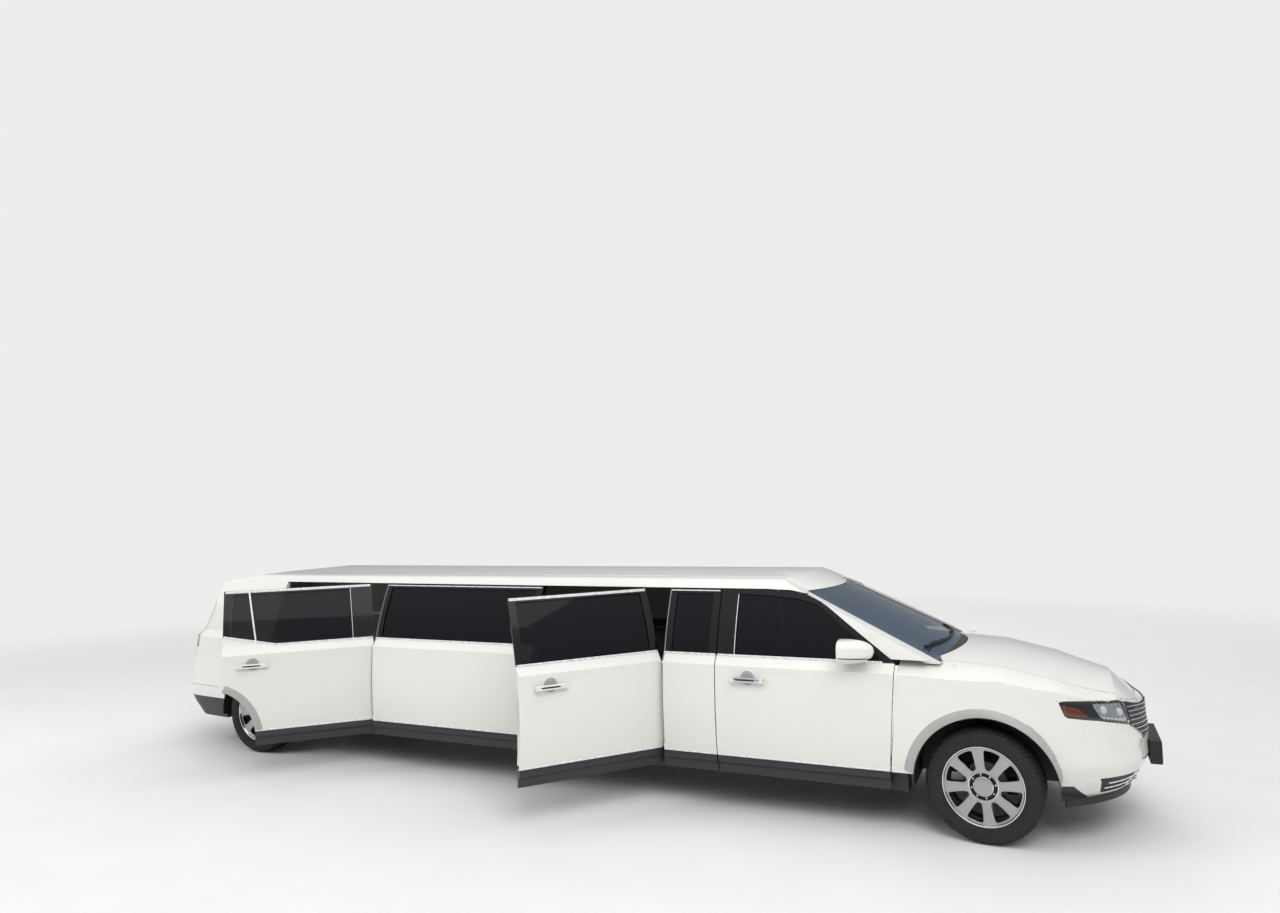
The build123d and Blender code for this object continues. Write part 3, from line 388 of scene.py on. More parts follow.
def made_of(name, colours, patch, roughness, drift, pattern=None, sockets=None):
    """A finish in Object coordinates: a colour, a roughness and a surface pattern.

    Colour = first + (second - first) * noise(place / patch). Roughness runs between its two
    values with noise(place / drift). The surface rises by depth with noise(place / grit), or
    with the distance to the nearest cell's middle.
    """
    material = bpy.data.materials.new(name)
    material.use_nodes = True
    tree = material.node_tree
    tree.nodes.clear()
    place = add_node(tree, "ShaderNodeTexCoord").outputs["Object"]
    blotch = add_node(tree, noise, {"Vector": place, "Scale": 1 / patch, "Detail": 3.0})
    first, second = map(linear, colours.split())
    colour = add_node(tree, blend, {"Factor": blotch, "A": first, "B": second}, data_type="RGBA")
    wear = add_node(tree, noise, {"Vector": place, "Scale": 1 / drift, "Detail": 2.0})
    rough = add_node(tree, ranged, (wear, 0.3, 0.7, *roughness))
    inputs = {**(sockets or {}), "Base Color": colour.outputs[2], "Roughness": rough}
    if pattern:
        kind, grit, depth = pattern
        height = add_node(tree, kind, {"Vector": place, "Scale": 1 / grit})
        raised = {"Height": height, "Strength": 0.4, "Distance": depth}
        inputs["Normal"] = add_node(tree, "ShaderNodeBump", raised)
    shader = add_node(tree, "ShaderNodeBsdfPrincipled", inputs)
    add_node(tree, "ShaderNodeOutputMaterial", (shader,))
    return material


def node_of(tree, kind):
    """The one node of a kind in a tree."""
    return next(node for node in tree.nodes if node.type == kind)


def paint_zones(material, body, side, sill, belt):
    """Splits a paint by height: satin cladding under the sill, black gloss over the belt.

    Places are turned back to where the door is closed. The sill is (front x, rear x, height at
    each); over the belt line, which rises behind the kick, the window frames are black. Faces
    that look inwards are moulded cabin trim.
    """
    tree = material.node_tree
    shader = node_of(tree, "BSDF_PRINCIPLED")
    coordinates = node_of(tree, "TEX_COORD")
    turn, foot = swing_of(body)
    cos, sin = np.cos(turn), np.sin(turn)
    shift = foot - [foot[0] * cos + foot[1] * sin, foot[1] * cos - foot[0] * sin, foot[2]]
    closed = add_node(tree, "ShaderNodeMapping", {
        "Vector": coordinates.outputs["Object"], "Location": shift, "Rotation": (0, 0, -turn)})
    x, _, z = add_node(tree, "ShaderNodeSeparateXYZ", (closed,)).outputs
    sill_top = add_node(tree, ranged, (x, *sill))
    under = add_node(tree, maths, (z, sill_top), operation="LESS_THAN")
    zones = [(under, "#2a2b2d", 0.42)]
    if belt:
        kick = at(kick_station)
        belt_top = add_node(tree, ranged, (x, kick - 1, kick, belt_z + kick_slope, belt_z))
        over = add_node(tree, maths, (z, belt_top), operation="GREATER_THAN")
        zones.insert(0, (over, "#060709", 0.1))
    if side:
        ways = (coordinates.outputs["Normal"], (side * sin, -side * cos, 0.0))
        facing = add_node(tree, "ShaderNodeVectorMath", ways, operation="DOT_PRODUCT")
        inner = add_node(tree, maths, (facing.outputs["Value"], 0.5), operation="GREATER_THAN")
        zones.append((inner, "#232221", 0.6))
    for mask, hue, rough in zones:
        for socket, kind, value, out in (
            ("Base Color", "RGBA", linear(hue), 2), ("Roughness", "FLOAT", rough, 0),
            ("Coat Weight", "FLOAT", 0.0, 0),
        ):
            end = shader.inputs[socket]
            before = end.links[0].from_socket if end.is_linked else end.default_value
            mix = add_node(tree, blend, {"Factor": mask, "A": before, "B": value}, data_type=kind)
            tree.links.new(mix.outputs[out], end)
    return material


# Each finish: the record's slot, common name, two colours, size of the colour's patches, least and
# most roughness, size of its drift, pattern with its grit and depth, and other sockets. The first
# finish of a slot is the one that the slot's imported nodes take.
finish_table = {
    # White pearl under a clear coat: faint flake, a hard highlight over a soft one
    "paint": ("body_paint", "pearl clear-coated paint", "#d9d8d3 #e3e2dd", 0.003, (0.28, 0.36), 0.4,
              (noise, 0.012, 0.00003), {"IOR": 1.5, "Coat Weight": 1.0, "Coat Roughness": 0.03}),
    # Moulded ABS: its grained skin breaks up the gloss
    "trim": ("black_trim", "moulded black ABS", "#151516 #1c1c1d", 0.05, (0.44, 0.56), 0.002,
             (noise, 0.0016, 0.0002), {"IOR": 1.5}),
    # Polished black acrylic over the pillars
    "piano": ("black_trim", "polished black acrylic", "#08090b #0c0d10", 0.2, (0.05, 0.1), 0.2,
              None, {"IOR": 1.49, "Coat Weight": 1.0}),
    # Cut-pile carpet: matt, with coarse tufts drawn 4 mm apart so that they show
    "carpet": ("carpet", "dark cut-pile carpet", "#1a1a1b #29292a", 0.03, (0.85, 0.95), 0.01,
               (cells, 0.004, 0.002)),
    # Tinted float glass: nearly opaque and mirror-smooth
    "side_glass": ("side_glass", "privacy-tinted float glass", "#04060a #070a10", 0.5, (0.01, 0.03),
                   0.5, None, {"IOR": 1.52, "Alpha": 0.88, "Specular IOR Level": 0.3}),
    # Laminated screen glass with a grey tint, and the sky's blue-grey reflection painted into its colour
    "screen_glass": ("screen_glass", "laminated screen glass", "#2c4254 #36506a", 0.8, (0.01, 0.03),
                     0.5, None, {"IOR": 1.52, "Alpha": 0.62}),
    # Decorative chromium plate: a bright, slightly cool mirror
    "chrome": ("bright_metal", "chromium plate", "#d4d6d8 #c6c8cb", 0.05, (0.04, 0.1), 0.06, None,
               {"Metallic": 1.0}),
    # Anodised strips: a bright, pale satin that scatters as well as mirrors
    "anodised": ("bright_metal", "bright anodised aluminium", "#f2f3f4 #e6e8ea", 0.05, (0.22, 0.32),
                 0.04, None, {"Metallic": 0.35}),
    # Lacquered cast aluminium: satin, with the lacquer's soft highlight
    "alloy": ("rim_silver", "satin lacquered aluminium", "#a9aaac #b4b5b7", 0.05, (0.3, 0.38), 0.03,
              (noise, 0.0015, 0.00008), {"Metallic": 0.9}),
    # Diamond-turned aluminium edges: brighter and sharper than the faces
    "machined": ("rim_silver", "diamond-turned aluminium", "#dcdddf #cfd0d2", 0.02, (0.12, 0.2),
                 0.01, None, {"Metallic": 1.0}),
    # Sand-cast aluminium: dull, with the sand's coarse skin
    "cast": ("alloy_block", "sand-cast aluminium", "#8a8a8a #767676", 0.03, (0.5, 0.7), 0.02,
             (noise, 0.003, 0.0004), {"Metallic": 0.8}),
    # Painted and dusty chassis iron
    "iron": ("iron", "painted cast iron", "#17171a #252527", 0.04, (0.55, 0.75), 0.02,
             (noise, 0.003, 0.0003)),
    # Carbon-filled tyre rubber, dull and a little dusty
    "tyre": ("tyre", "tyre rubber", "#151515 #242322", 0.08, (0.62, 0.8), 0.02,
             (noise, 0.004, 0.0003)),
    # Moulded polycarbonate over a bright reflector
    "lamp": ("lamp_lens", "clear polycarbonate lens", "#8d9399 #c9ced2", 0.03, (0.04, 0.1), 0.05,
             None, {"IOR": 1.58, "Coat Weight": 1.0}),
    # Coloured acrylic lenses, whose moulded prisms sparkle
    "red": ("red_lens", "red acrylic lens", "#6d0a0c #8f1013", 0.02, (0.06, 0.12), 0.02,
            (cells, 0.008, 0.0008), {"IOR": 1.49, "Coat Weight": 1.0}),
    "amber": ("red_lens", "amber acrylic reflector", "#4a1207 #6b200c", 0.01, (0.08, 0.16), 0.02,
              (cells, 0.006, 0.0008), {"IOR": 1.49, "Coat Weight": 1.0}),
    # Corrected-grain hide: pebbles drawn 4 mm apart so that they show
    "leather": ("leather", "dark corrected-grain leather", "#262321 #332f2c", 0.1, (0.42, 0.58),
                0.02, (cells, 0.004, 0.0006), {"IOR": 1.5}),
    # Paint over a textured moulding: the same white, softer, and greyed by painted shade
    "moulding": ("body_paint", "satin-painted moulding", "#a2a29f #aaaaa7", 0.05, (0.4, 0.5), 0.1,
                 (noise, 0.003, 0.0001), {"IOR": 1.5}),
    # Grained grey vinyl on the seats' plinths and the doorways' edges
    "vinyl": ("black_trim", "grey moulded vinyl", "#77787a #848587", 0.05, (0.5, 0.65), 0.02,
              (noise, 0.002, 0.0002)),
}
finishes = {}
finish_of = {row[0]: finish for finish, row in reversed(finish_table.items())}
# Nodes that the car shows in another finish than their slot's
own_finish = {"headlamps": "paint", "grille": "piano", "cowl": "trim"}
# Nodes whose paint is split by height: body, side, sill line as two x and two heights, belt
level = (at(-9.0), at(2.0))
far_sill = (*level, sill_z, sill_z)
zoned_nodes = {
    "side_right": ("shell", -1, far_sill, True),
    "side_left": ("shell", 1, far_sill, True),
    "wings": ("shell", 0, far_sill, False),
    "quarters": ("shell", 0, far_sill, False),
    "nose": ("shell", 0, (at(0.52), at(0.625), 0.395, 0.285), False),
    "rear_bumper": ("shell", 0, (*level, 0.484, 0.484), False),
} | {body: (body, side, far_sill, True) for body, side, _, _ in panels if body != "shell"}


def smooth_group():
    """Geometry nodes that weld a CAD node's triangles and smooth its shallow edges."""
    group = bpy.data.node_groups.new("weld and smooth", "GeometryNodeTree")
    for way in ("INPUT", "OUTPUT"):
        group.interface.new_socket("Geometry", in_out=way, socket_type="NodeSocketGeometry")
    start = add_node(group, "NodeGroupInput")
    merging = {"Geometry": start, "Distance": weld_gap}
    merge = add_node(group, "GeometryNodeMergeByDistance", merging)
    angle = add_node(group, "GeometryNodeInputMeshEdgeAngle")
    shallow = add_node(group, "FunctionNodeCompare", (angle, smooth_angle), operation="LESS_THAN")
    for domain, where in (("FACE", True), ("EDGE", shallow)):
        shading = {"Geometry": merge, "Shade Smooth": where}
        merge = add_node(group, "GeometryNodeSetShadeSmooth", shading, domain=domain)
    add_node(group, "NodeGroupOutput", (merge,))
    return group


class LimousineLook(bpy.types.PropertyGroup):
    """Sizes, colours and lights that a user would change."""
    light: FloatProperty(
        name="Key light", description="Power of the key light, in watts", default=780.0, min=0.0)
    floor_colour: FloatVectorProperty(
        name="Floor", description="Colour of the floor and of what is seen past it",
        subtype="COLOR", size=4, default=linear("#ededeb"))
    spokes: IntProperty(name="Spokes", description="Spokes in each wheel", default=8, min=4)
    tread_pitches: IntProperty(
        name="Tread pitches", description="Shoulder blocks round a tyre", default=60, min=20)
    tread_depth: FloatProperty(
        name="Tread depth", description="Depth of the tread's grooves", unit="LENGTH",
        default=0.007)
    belt_trim: FloatProperty(
        name="Belt trim", description="Height of the bright belt strip", unit="LENGTH",
        default=0.012)
    seat_crown: FloatProperty(
        name="Seat crown", description="How far the cushions are domed", unit="LENGTH",
        default=usual_crown)


class LIMO_OT_finishes(bpy.types.Operator):
    """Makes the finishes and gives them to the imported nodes"""
    bl_idname = "limo.finishes"
    bl_label = "Finishes"

    def execute(self, context):
        for key, (_, *parts) in finish_table.items():
            finishes[key] = made_of(*parts)
        group = smooth_group()
        slots = {row["node"]: row["material_slot"] for row in frame["record"]["subparts"]}
        for name, node in frame["nodes"].items():
            finish = finishes[own_finish.get(name, finish_of[slots[name]])]
            if name in zoned_nodes:
                paint = made_of(f"painted {name}", *finish_table["paint"][2:])
                finish = paint_zones(paint, *zoned_nodes[name])
            node.data.materials.clear()
            node.data.materials.append(finish)
            node.modifiers.new("weld and smooth", "NODES").node_group = group
        return {"FINISHED"}


# Wheels and tyres. Radii are from the wheel's axis, and outward is from its middle plane.
rim_radius = 0.258
face_out = 0.085
spoke_back = 0.05
sector_in = 0.098
sector_out = 0.244
sector_middle = 0.18
window_in = 0.112
window_out = 0.232
spoke_edge = ((0.124, 0.031), (0.232, 0.039))
lip = (
    (sector_out, spoke_back), (sector_out, face_out), (0.2462, 0.0885), (0.2485, 0.0965),
    (0.2525, 0.101), (rim_radius, 0.1012),
)
barrel = (
    lip[-1], (rim_radius, 0.09), (0.241, 0.074), (0.229, 0.0), (0.241, -0.075),
    (rim_radius, -0.09), (rim_radius, -0.1012), (0.246, -0.1012), (0.237, -0.08),
    (0.22, -0.01), (0.224, 0.03), lip[0],
)
hub = (
    (sector_in, spoke_back), (0.08, 0.044), (0.08, -0.0395), (0.03, -0.0395), (0.03, 0.0),
    (0.0, 0.0),
)
ring = (
    (sector_in, face_out), (0.0965, 0.0875), (0.0925, 0.0885), (0.0885, 0.0875), (0.087, 0.085),
    (0.0865, 0.066),
)
cap_edge = ((0.066, 0.066), (0.0655, 0.084), (0.0635, 0.088), (0.059, 0.0905))
cap = (
    cap_edge[-1], (0.058, 0.09), (0.056, 0.0905), (0.045, 0.0925), (0.03, 0.0938),
    (0.015, 0.0945), (0.0, 0.0948),
)
nut = ((0.0085, 0.066), (0.0085, 0.078), (0.007, 0.0805), (0.005, 0.0815), (0.0, 0.0815))
nut_circle = 0.0762
disc = (
    (0.079, 0.012), (0.138, 0.012), (0.14, 0.01), (0.14, -0.008), (0.138, -0.01),
    (0.079, -0.01),
)
# A tyre's profile from its bead to the middle of its tread
tyre_half = (
    (0.252, 0.0), (0.252, 0.09), (0.259, 0.1), (0.266, 0.1045), (0.272, 0.1075),
    (0.2735, 0.1098), (0.2785, 0.1108), (0.28, 0.1115), (0.29, 0.1142), (0.3, 0.1158),
    (0.31, 0.1162), (0.3115, 0.1172), (0.318, 0.1172), (0.3195, 0.1162), (0.33, 0.1148),
    (0.34, 0.1125), (0.3415, 0.1135), (0.347, 0.112), (0.3485, 0.1098), (0.354, 0.107),
    (0.3595, 0.1005), (0.3645, 0.0915), (0.3675, 0.083), (0.369, 0.074), (0.3695, 0.064),
    (0.3625, 0.063), (0.3625, 0.055), (0.3698, 0.054), (0.37, 0.04), (0.37, 0.027),
    (0.3625, 0.026), (0.3625, 0.0175), (0.37, 0.0165), (0.37, 0.0),
)
# How far the nearest wheel stands turned in the photograph
spoke_turn = {"wheel_front_right": np.radians(7)}
wheel_names = ("wheel_front_right", "wheel_rear_right", "wheel_front_left", "wheel_rear_left")


def wheel_axes(name):
    """A wheel's centre and its forward, upward and outward directions, from its joint."""
    joint = joints[f"{name}_spin"]
    outward = np.array(joint["axis"]) * (1 if name.endswith("left") else -1)
    up = np.array([0.0, 0.0, 1.0])
    return np.array(joint["pos_m"]), np.cross(up, outward), up, outward


def turned_profile(profile, axes, count):
    """A profile of (radius, outward) points turned about a wheel's axis, one row an angle."""
    centre, forward, up, outward = axes
    radius, out = np.transpose(profile)[..., None]
    angles = full_turn(count)[:, None, None]
    return centre + (forward * np.cos(angles) + up * np.sin(angles)) * radius + outward * out


def line_reach(directions, centre, first, second):
    """How far rays from a centre go before the line through two points."""
    normal = unit(np.array([second[1] - first[1], first[0] - second[0]]))
    offset = (np.asarray(first) - centre) @ normal
    normal, offset = (normal, offset) if offset > 0 else (-normal, -offset)
    rate = directions @ normal
    return np.where(rate > 1e-6, offset / np.maximum(rate, 1e-6), 1e3)


def circle_reach(directions, centre, radius, inside):
    """How far rays go before a circle about the axis: its far side, or from outside its near."""
    along = directions @ centre
    under = along ** 2 - centre @ centre + radius ** 2
    root = np.sqrt(np.maximum(under, 0))
    if inside:
        return root - along
    return np.where((under > 0) & (along < 0), -along - root, 1e3)


def spoke_sectors(spokes):
    """One sector's rings about its window, as (radial, sideways, outward), back to front.

    A ray's reach to the window is the p-norm least of its reach to two spoke edges, an inner
    end and an outer arc, so its corners are round. The sector's own edge is the plain least.
    """
    cos, sin = np.cos(np.pi / spokes), np.sin(np.pi / spokes)
    centre = np.array([sector_middle, 0.0])
    edge = [(u * cos + v * sin, u * sin - v * cos) for u, v in spoke_edge]
    corners = [np.arctan2(radius * sin, radius * cos - centre[0]) for radius in (sector_in, sector_out)]
    evenly = np.linspace(-np.pi, np.pi, 72, endpoint=False)
    angles = np.unique(np.round(np.concatenate([evenly, corners, -np.array(corners)]), 6))
    rays = points_of(np.cos(angles), np.sin(angles))
    bounds = np.min([
        line_reach(rays, centre, (0, 0), (cos, sin)),
        line_reach(rays, centre, (0, 0), (cos, -sin)),
        circle_reach(rays, centre, sector_out, True),
        circle_reach(rays, centre, sector_in, False),
    ], axis=0)
    reaches = np.array([
        line_reach(rays, centre, *edge),
        line_reach(rays, centre, *[(u, -v) for u, v in edge]),
        circle_reach(rays, centre, window_out, True),
        line_reach(rays, centre, (window_in, -1), (window_in, 1)),
    ])
    window = np.sum(reaches ** -9.0, axis=0) ** (-1 / 9.0)
    return np.array([
        np.column_stack([centre + rays * reach[:, None], np.full(len(rays), out)])
        for reach, out in (
            (bounds, spoke_back), (window, spoke_back), (window, face_out - 0.006),
            (window + 0.0035, face_out - 0.0005), (window + 0.006, face_out), (bounds, face_out),
        )
    ])


def wheel_grids(axes, spokes, start):
    """A spoked wheel: sectors, rim, hub, ring, cap, nuts and brake disc."""
    centre, forward, up, outward = axes
    rings = spoke_sectors(spokes)
    grids = []
    for turn in full_turn(spokes) + np.pi / spokes + start:
        radial = forward * np.cos(turn) + up * np.sin(turn)
        points = centre + rings @ np.array([radial, np.cross(radial, -outward), outward])
        for part, number in ((points[:2], 2), (points[1:4], 1), (points[3:], 0)):
            grids.append((part, "columns", number))
    for profile, number in (
        (lip, 1), (barrel, 2), (hub, 2), (ring, 1), ((ring[-1], cap_edge[0]), 2), (cap_edge, 1), (cap, 0),
    ):
        grids.append((turned_profile(profile, axes, 96), "rows", number))
    for turn in full_turn(spokes) + 0.2:
        spot = centre + (forward * np.cos(turn) + up * np.sin(turn)) * nut_circle
        grids.append((turned_profile(nut, (spot, forward, up, outward), 6), "rows", 3))
    grids.append((turned_profile(disc, axes, 64), "rows columns", 4))
    return grids


def tyre_grid(axes, pitches, depth):
    """A treaded tyre: its half profile mirrored, with blocks cut into its shoulders.

    Each pitch has four rows, of which the middle two are lowered. Rows lean back with their
    distance from the middle, so that the blocks slant.
    """
    half = np.array(tyre_half)
    height, sideways = np.concatenate([half, half[-2:0:-1] * [1, -1]]).T
    steps = (np.arange(pitches)[:, None] + [0.0, 0.05, 0.27, 0.32]).ravel()[:, None]
    low = np.tile([0.0, 1.0, 1.0, 0.0], pitches)[:, None]
    out = np.abs(sideways)
    shoulder = (out > 0.06) & (height > 0.35)
    middle = (out < 0.0545) & (height > 0.369)
    radius = height - low * depth * (0.8 * shoulder + 0.45 * middle)
    sideways = sideways - np.sign(sideways) * low * 0.004 * (shoulder & (out > 0.098))
    angles = (2 * np.pi / pitches * (steps + 22.0 * out))[..., None]
    centre, forward, up, outward = axes
    spoke = forward * np.cos(angles) + up * np.sin(angles)
    return centre + spoke * radius[..., None] + outward * sideways[..., None]


class LIMO_OT_wheels(bpy.types.Operator):
    """Makes the spoked wheels"""
    bl_idname = "limo.wheels"
    bl_label = "Wheels"

    def execute(self, context):
        spokes = context.scene.limousine_look.spokes
        for name in wheel_names:
            grids = wheel_grids(wheel_axes(name), spokes, spoke_turn.get(name, 0.0))
            make_piece(
                f"spoked_{name}", name, "alloy machined iron chrome cast", grids, (name,), 28)
        return {"FINISHED"}


class LIMO_OT_tyres(bpy.types.Operator):
    """Makes the treaded tyres"""
    bl_idname = "limo.tyres"
    bl_label = "Tyres"

    def execute(self, context):
        look = context.scene.limousine_look
        for name in wheel_names:
            tyre = name.replace("wheel", "tyre")
            grid = tyre_grid(wheel_axes(name), look.tread_pitches, look.tread_depth)
            make_piece(
                f"treaded_{tyre}", name, "tyre", [(grid, "rows columns", 0)], (tyre,), 30)
        return {"FINISHED"}


# Bright strips along the sides. The sill strip ends where the rear arch begins, ahead of its axle.
arch_ahead = 0.4608
arch_front = rear_axle_x - axle_x + arch_ahead
rail_strip_z = 1.598
# The upright ones in the doors' windows: lower and upper station, lower and upper height, breadth
uprights = {
    "rear_door": ((-6.098, -6.156, 1.182, 1.592, 0.014), (-5.29, -5.306, 1.15, 1.585, 0.005)),
    "front_door": ((-1.704, -1.704, 1.15, 1.575, 0.006),),
}


class LIMO_OT_side_trim(bpy.types.Operator):
    """Makes the belt strips, the sill strips and the door-top strips"""
    bl_idname = "limo.side_trim"
    bl_label = "Side trim"

    def execute(self, context):
        look = context.scene.limousine_look
        for number, (body, side, front, rear) in enumerate(panels):
            at_front = "front" in body
            belt = np.linspace(front - (0.03 if at_front else 0.006), rear + 0.006, 40)
            belt_line = belt_z + kick_slope * np.maximum(0, kick_station - belt) + 0.006
            foot = np.linspace(front - 0.004, max(rear + 0.004, arch_front), 40)
            grids = [
                carried(on_wall(belt, belt_line, side, 0.003), oval(0.012, look.belt_trim)),
                carried(on_wall(foot, sill_z + 0.008, side, 0.001), oval(0.008, 0.009)),
            ]
            if not at_front:
                rail = np.linspace(front - 0.012, rear + 0.012, 40)
                section = oval(0.008, 0.02 if swing_of(body)[0] else 0.009)
                grids.append(carried(on_wall(rail, rail_strip_z, side, 0.003), section))
            for *stations, low, high, breadth in uprights.get(body.rsplit("_", 1)[0], ()):
                line = on_wall(np.linspace(*stations, 24), np.linspace(low, high, 24), side, 0.004)
                grids.append(carried(line, oval(0.008, breadth), upright))
            side_name = "right" if side < 0 else "left"
            make_piece(f"bright_strips_{side_name}_{number}", body, "anodised",
                       [swung(grid, body) for grid in grids])
        return {"FINISHED"}


# Door handles: body, side, station, finish
handles = (
    ("front_door_right", -1, -1.59, "chrome"),
    ("middle_door_right", -1, -3.19, "paint"),
    ("rear_door_right", -1, -6.12, "paint"),
    ("front_door_left", 1, -1.59, "chrome"),
    ("rear_door_left", 1, -6.12, "paint"),
)
handle_z = 0.98
handle_out = 0.991
handle_half = (0.132, 0.0105, 0.0185)
handle_bow = 0.01
# The bowls cut into the panels behind the handles
bowl_radius = 0.054
bowl_z = 0.992


class LIMO_OT_handles(bpy.types.Operator):
    """Makes the pull handles with the bowls behind them"""
    bl_idname = "limo.handles"
    bl_label = "Handles"

    def execute(self, context):
        for body, side, station, finish in handles:
            # The bar's ends bow towards the panel by bow (x / half length)^4
            bar = rounded_block((at(station), side * handle_out, handle_z), handle_half, 5.0, 2.6)
            bar[..., 1] -= side * handle_bow * ((bar[..., 0] - at(station)) / handle_half[0]) ** 4
            inset = (at(station) - 0.01, side * (handle_out + 0.0095), handle_z + 0.002)
            waist = rounded_block(inset, (0.075, 0.003, 0.006), 4.0, 2.2)
            # The bowl takes the moulding finish, whose grey is painted shade in the recess
            turn = full_turn(48)[:, None]
            reach = bowl_radius * np.linspace(1.0, 0.0, 8)
            bowl = on_wall(
                station + reach * np.cos(turn), bowl_z + reach * np.sin(turn), side, -0.004)
            bowl = laid_on(swung(bowl, body), (body,), 0.0012)
            make_piece(f"pull_handle_{body}", body, f"{finish} trim moulding paint", [
                (swung(bar, body), "columns", 0), (swung(waist, body), "columns", 1),
                (bowl, "rows", 2), (ring_of(bowl[:, 0], 0.0028), "rows columns", 3),
            ])
        return {"FINISHED"}


# Arch mouldings, from a lip round the wheel opening out on to the panel: name, the body without its
# side, centre, first and last angle, nodes under it if not the body, the lip's least half width
arch_lip = 0.4525
arch_edge = 0.511
arches = (
    ("front", "shell", axle_x, 3, 173, ("wings", "nose"), 0.952),
    ("rear", "shell", rear_axle_x, 70, 160, ("quarters", "rear_bumper"), 0.0),
    ("door", "rear_door", rear_axle_x, 6, 65, (), 0.0),
)


class LIMO_OT_flares(bpy.types.Operator):
    """Makes the mouldings round the wheel arches"""
    bl_idname = "limo.flares"
    bl_label = "Arch mouldings"

    def execute(self, context):
        for name, body, *shape in arches:
            for side_name, side in sides:
                rider = body if body == "shell" else f"{body}_{side_name}"
                # The moulding finish is the body's white, greyed by painted shade
                make_piece(f"arch_moulding_{name}_{side_name}", rider, "moulding",
                           [self.moulding(rider, side, *shape)])
        return {"FINISHED"}

    def moulding(self, body, side, centre_x, first, last, nodes, least):
        """Raised by 6 mm (1 - t^6) out to the edge, or from a lip by 4 t (1 - t) of that."""
        angles = np.radians(np.linspace(first, last, 90))[:, None]
        radii = np.linspace(arch_lip, arch_edge, 7)
        points = swung(points_of(
            centre_x + radii * np.cos(angles), side, axle_z + radii * np.sin(angles)), body)
        outer, raised = (laid_on(points, nodes or (body,), lift) for lift in (0.0005, 0.006))
        share = np.linspace(0, 1, 7)[:, None]
        front = outer + (raised - outer) * (1 - share ** 6)
        if least:
            lip_y = side * np.maximum(np.abs(front[:, :1, 1:2]), least)
            lip_line = np.concatenate([points[:, :1, :1], lip_y, points[:, :1, 2:]], axis=-1)
            front = (lip_line + (front[:, -1:] - lip_line) * share
                     + (raised - outer) * 4 * share * (1 - share))
        inward = swung(np.array([0.0, -side, 0.0]), body) - swung(np.zeros(3), body)
        return slab(front, front + inward * 0.012)


# Headlamp outlines in side view: stations and heights, upper line then lower line
bezel_lines = (
    ((0.458, 0.925), (0.476, 0.936), (0.628, 0.93), (0.751, 0.921), (0.836, 0.91)),
    ((0.488, 0.846), (0.505, 0.832), (0.688, 0.805), (0.8, 0.776), (0.886, 0.744)),
)
amber_lines = (((0.47, 0.915), (0.563, 0.893)), ((0.492, 0.846), (0.653, 0.822)))
clear_lines = (
    ((0.627, 0.92), (0.725, 0.914), (0.822, 0.904)),
    ((0.693, 0.812), (0.79, 0.787), (0.868, 0.762)),
)
lens_spots = ((0.712, 0.868), (0.806, 0.842))
lamp_nodes = ("headlamps", "wings", "nose")
# What a lamp's brow covers of the wing over it, and the raised panel under it
brow_lines = (
    ((0.452, 0.948), (0.52, 0.954), (0.64, 0.962), (0.7, 0.974), (0.725, 0.972),
     (0.78, 0.95), (0.835, 0.921)),
    ((0.45, 0.931), (0.52, 0.935), (0.628, 0.931), (0.7, 0.926), (0.751, 0.921),
     (0.838, 0.909)),
)
cheek_lines = (
    ((0.7, 0.778), (0.735, 0.7), (0.763, 0.64), (0.8, 0.612), (0.87, 0.592),
     (0.925, 0.578)),
    ((0.712, 0.78), (0.79, 0.756), (0.85, 0.735), (0.89, 0.708), (0.925, 0.665),
     (0.958, 0.63)),
)


class LIMO_OT_headlamps(bpy.types.Operator):
    """Makes the headlamps and the painted forms over and under them"""
    bl_idname = "limo.headlamps"
    bl_label = "Headlamps"

    def execute(self, context):
        for side_name, side in sides:
            def patch(name, finish, lines, lift, rows=28, columns=10, nodes=lamp_nodes, more=()):
                """A raised patch between two lines in side view, laid on the nodes."""
                grid = laid_slab(side_view(between(*lines, rows, columns), side), nodes, lift, "y")
                make_piece(f"{name}_{side_name}", "shell", finish, [grid, *more],
                           sharp=50 if "cheek" in name else 35)

            patch("lamp_bezel", "piano", bezel_lines, 0.0045, 48, 14)
            patch("amber_reflector", "amber", amber_lines, 0.0065)
            ribs = []
            for row in between(*clear_lines, 9, 3)[1:-1]:
                rib = laid_on(side_view(row, side), lamp_nodes, 0.007, "y")
                ribs.append((carried(smooth(rib, 12), oval(0.003, 0.003, 2, 8)), "columns", 1))
            patch("lamp_reflector", "chrome alloy", clear_lines, 0.006, more=ribs)
            for number, spot in enumerate(lens_spots):
                spot = laid_on(side_view(np.array([spot]), side), lamp_nodes, 0.004, "y")[0]
                ball = rounded_block(spot, (0.024, 0.022, 0.027), 2.0, 2.0, 24, 13)
                make_piece(f"lamp_lens_{side_name}_{number}", "shell", "lamp", [ball])
            patch("lamp_brow", "paint", brow_lines, 0.0062, 60, 8)
            patch("bumper_cheek", "paint", cheek_lines, 0.004, 48, 14, ("nose",))
        return {"FINISHED"}


# The grille's edges in front view: half widths and heights
grille_top = ((0.0, 0.836), (0.27, 0.846), (0.4, 0.87), (0.512, 0.899))
grille_foot = ((0.0, 0.662), (0.12, 0.64), (0.33, 0.626), (0.388, 0.67), (0.512, 0.742))
grille_nodes = ("nose", "grille", "headlamps")
grille_reach = 0.512
bar_fall = 0.1
bar_heights = np.arange(8) * 0.0285 + 0.69
intake_bars = (0.36, 0.395)
# The black lip under the bumper: stations and y of its right half, and its middle height
chin_line = (
    (0.47, -0.832), (0.54, -0.774), (0.64, -0.684), (0.7, -0.615), (0.77, -0.515),
    (0.825, -0.405), (0.86, -0.29), (0.878, -0.15), (0.884, 0.0),
)
chin_z = 0.291


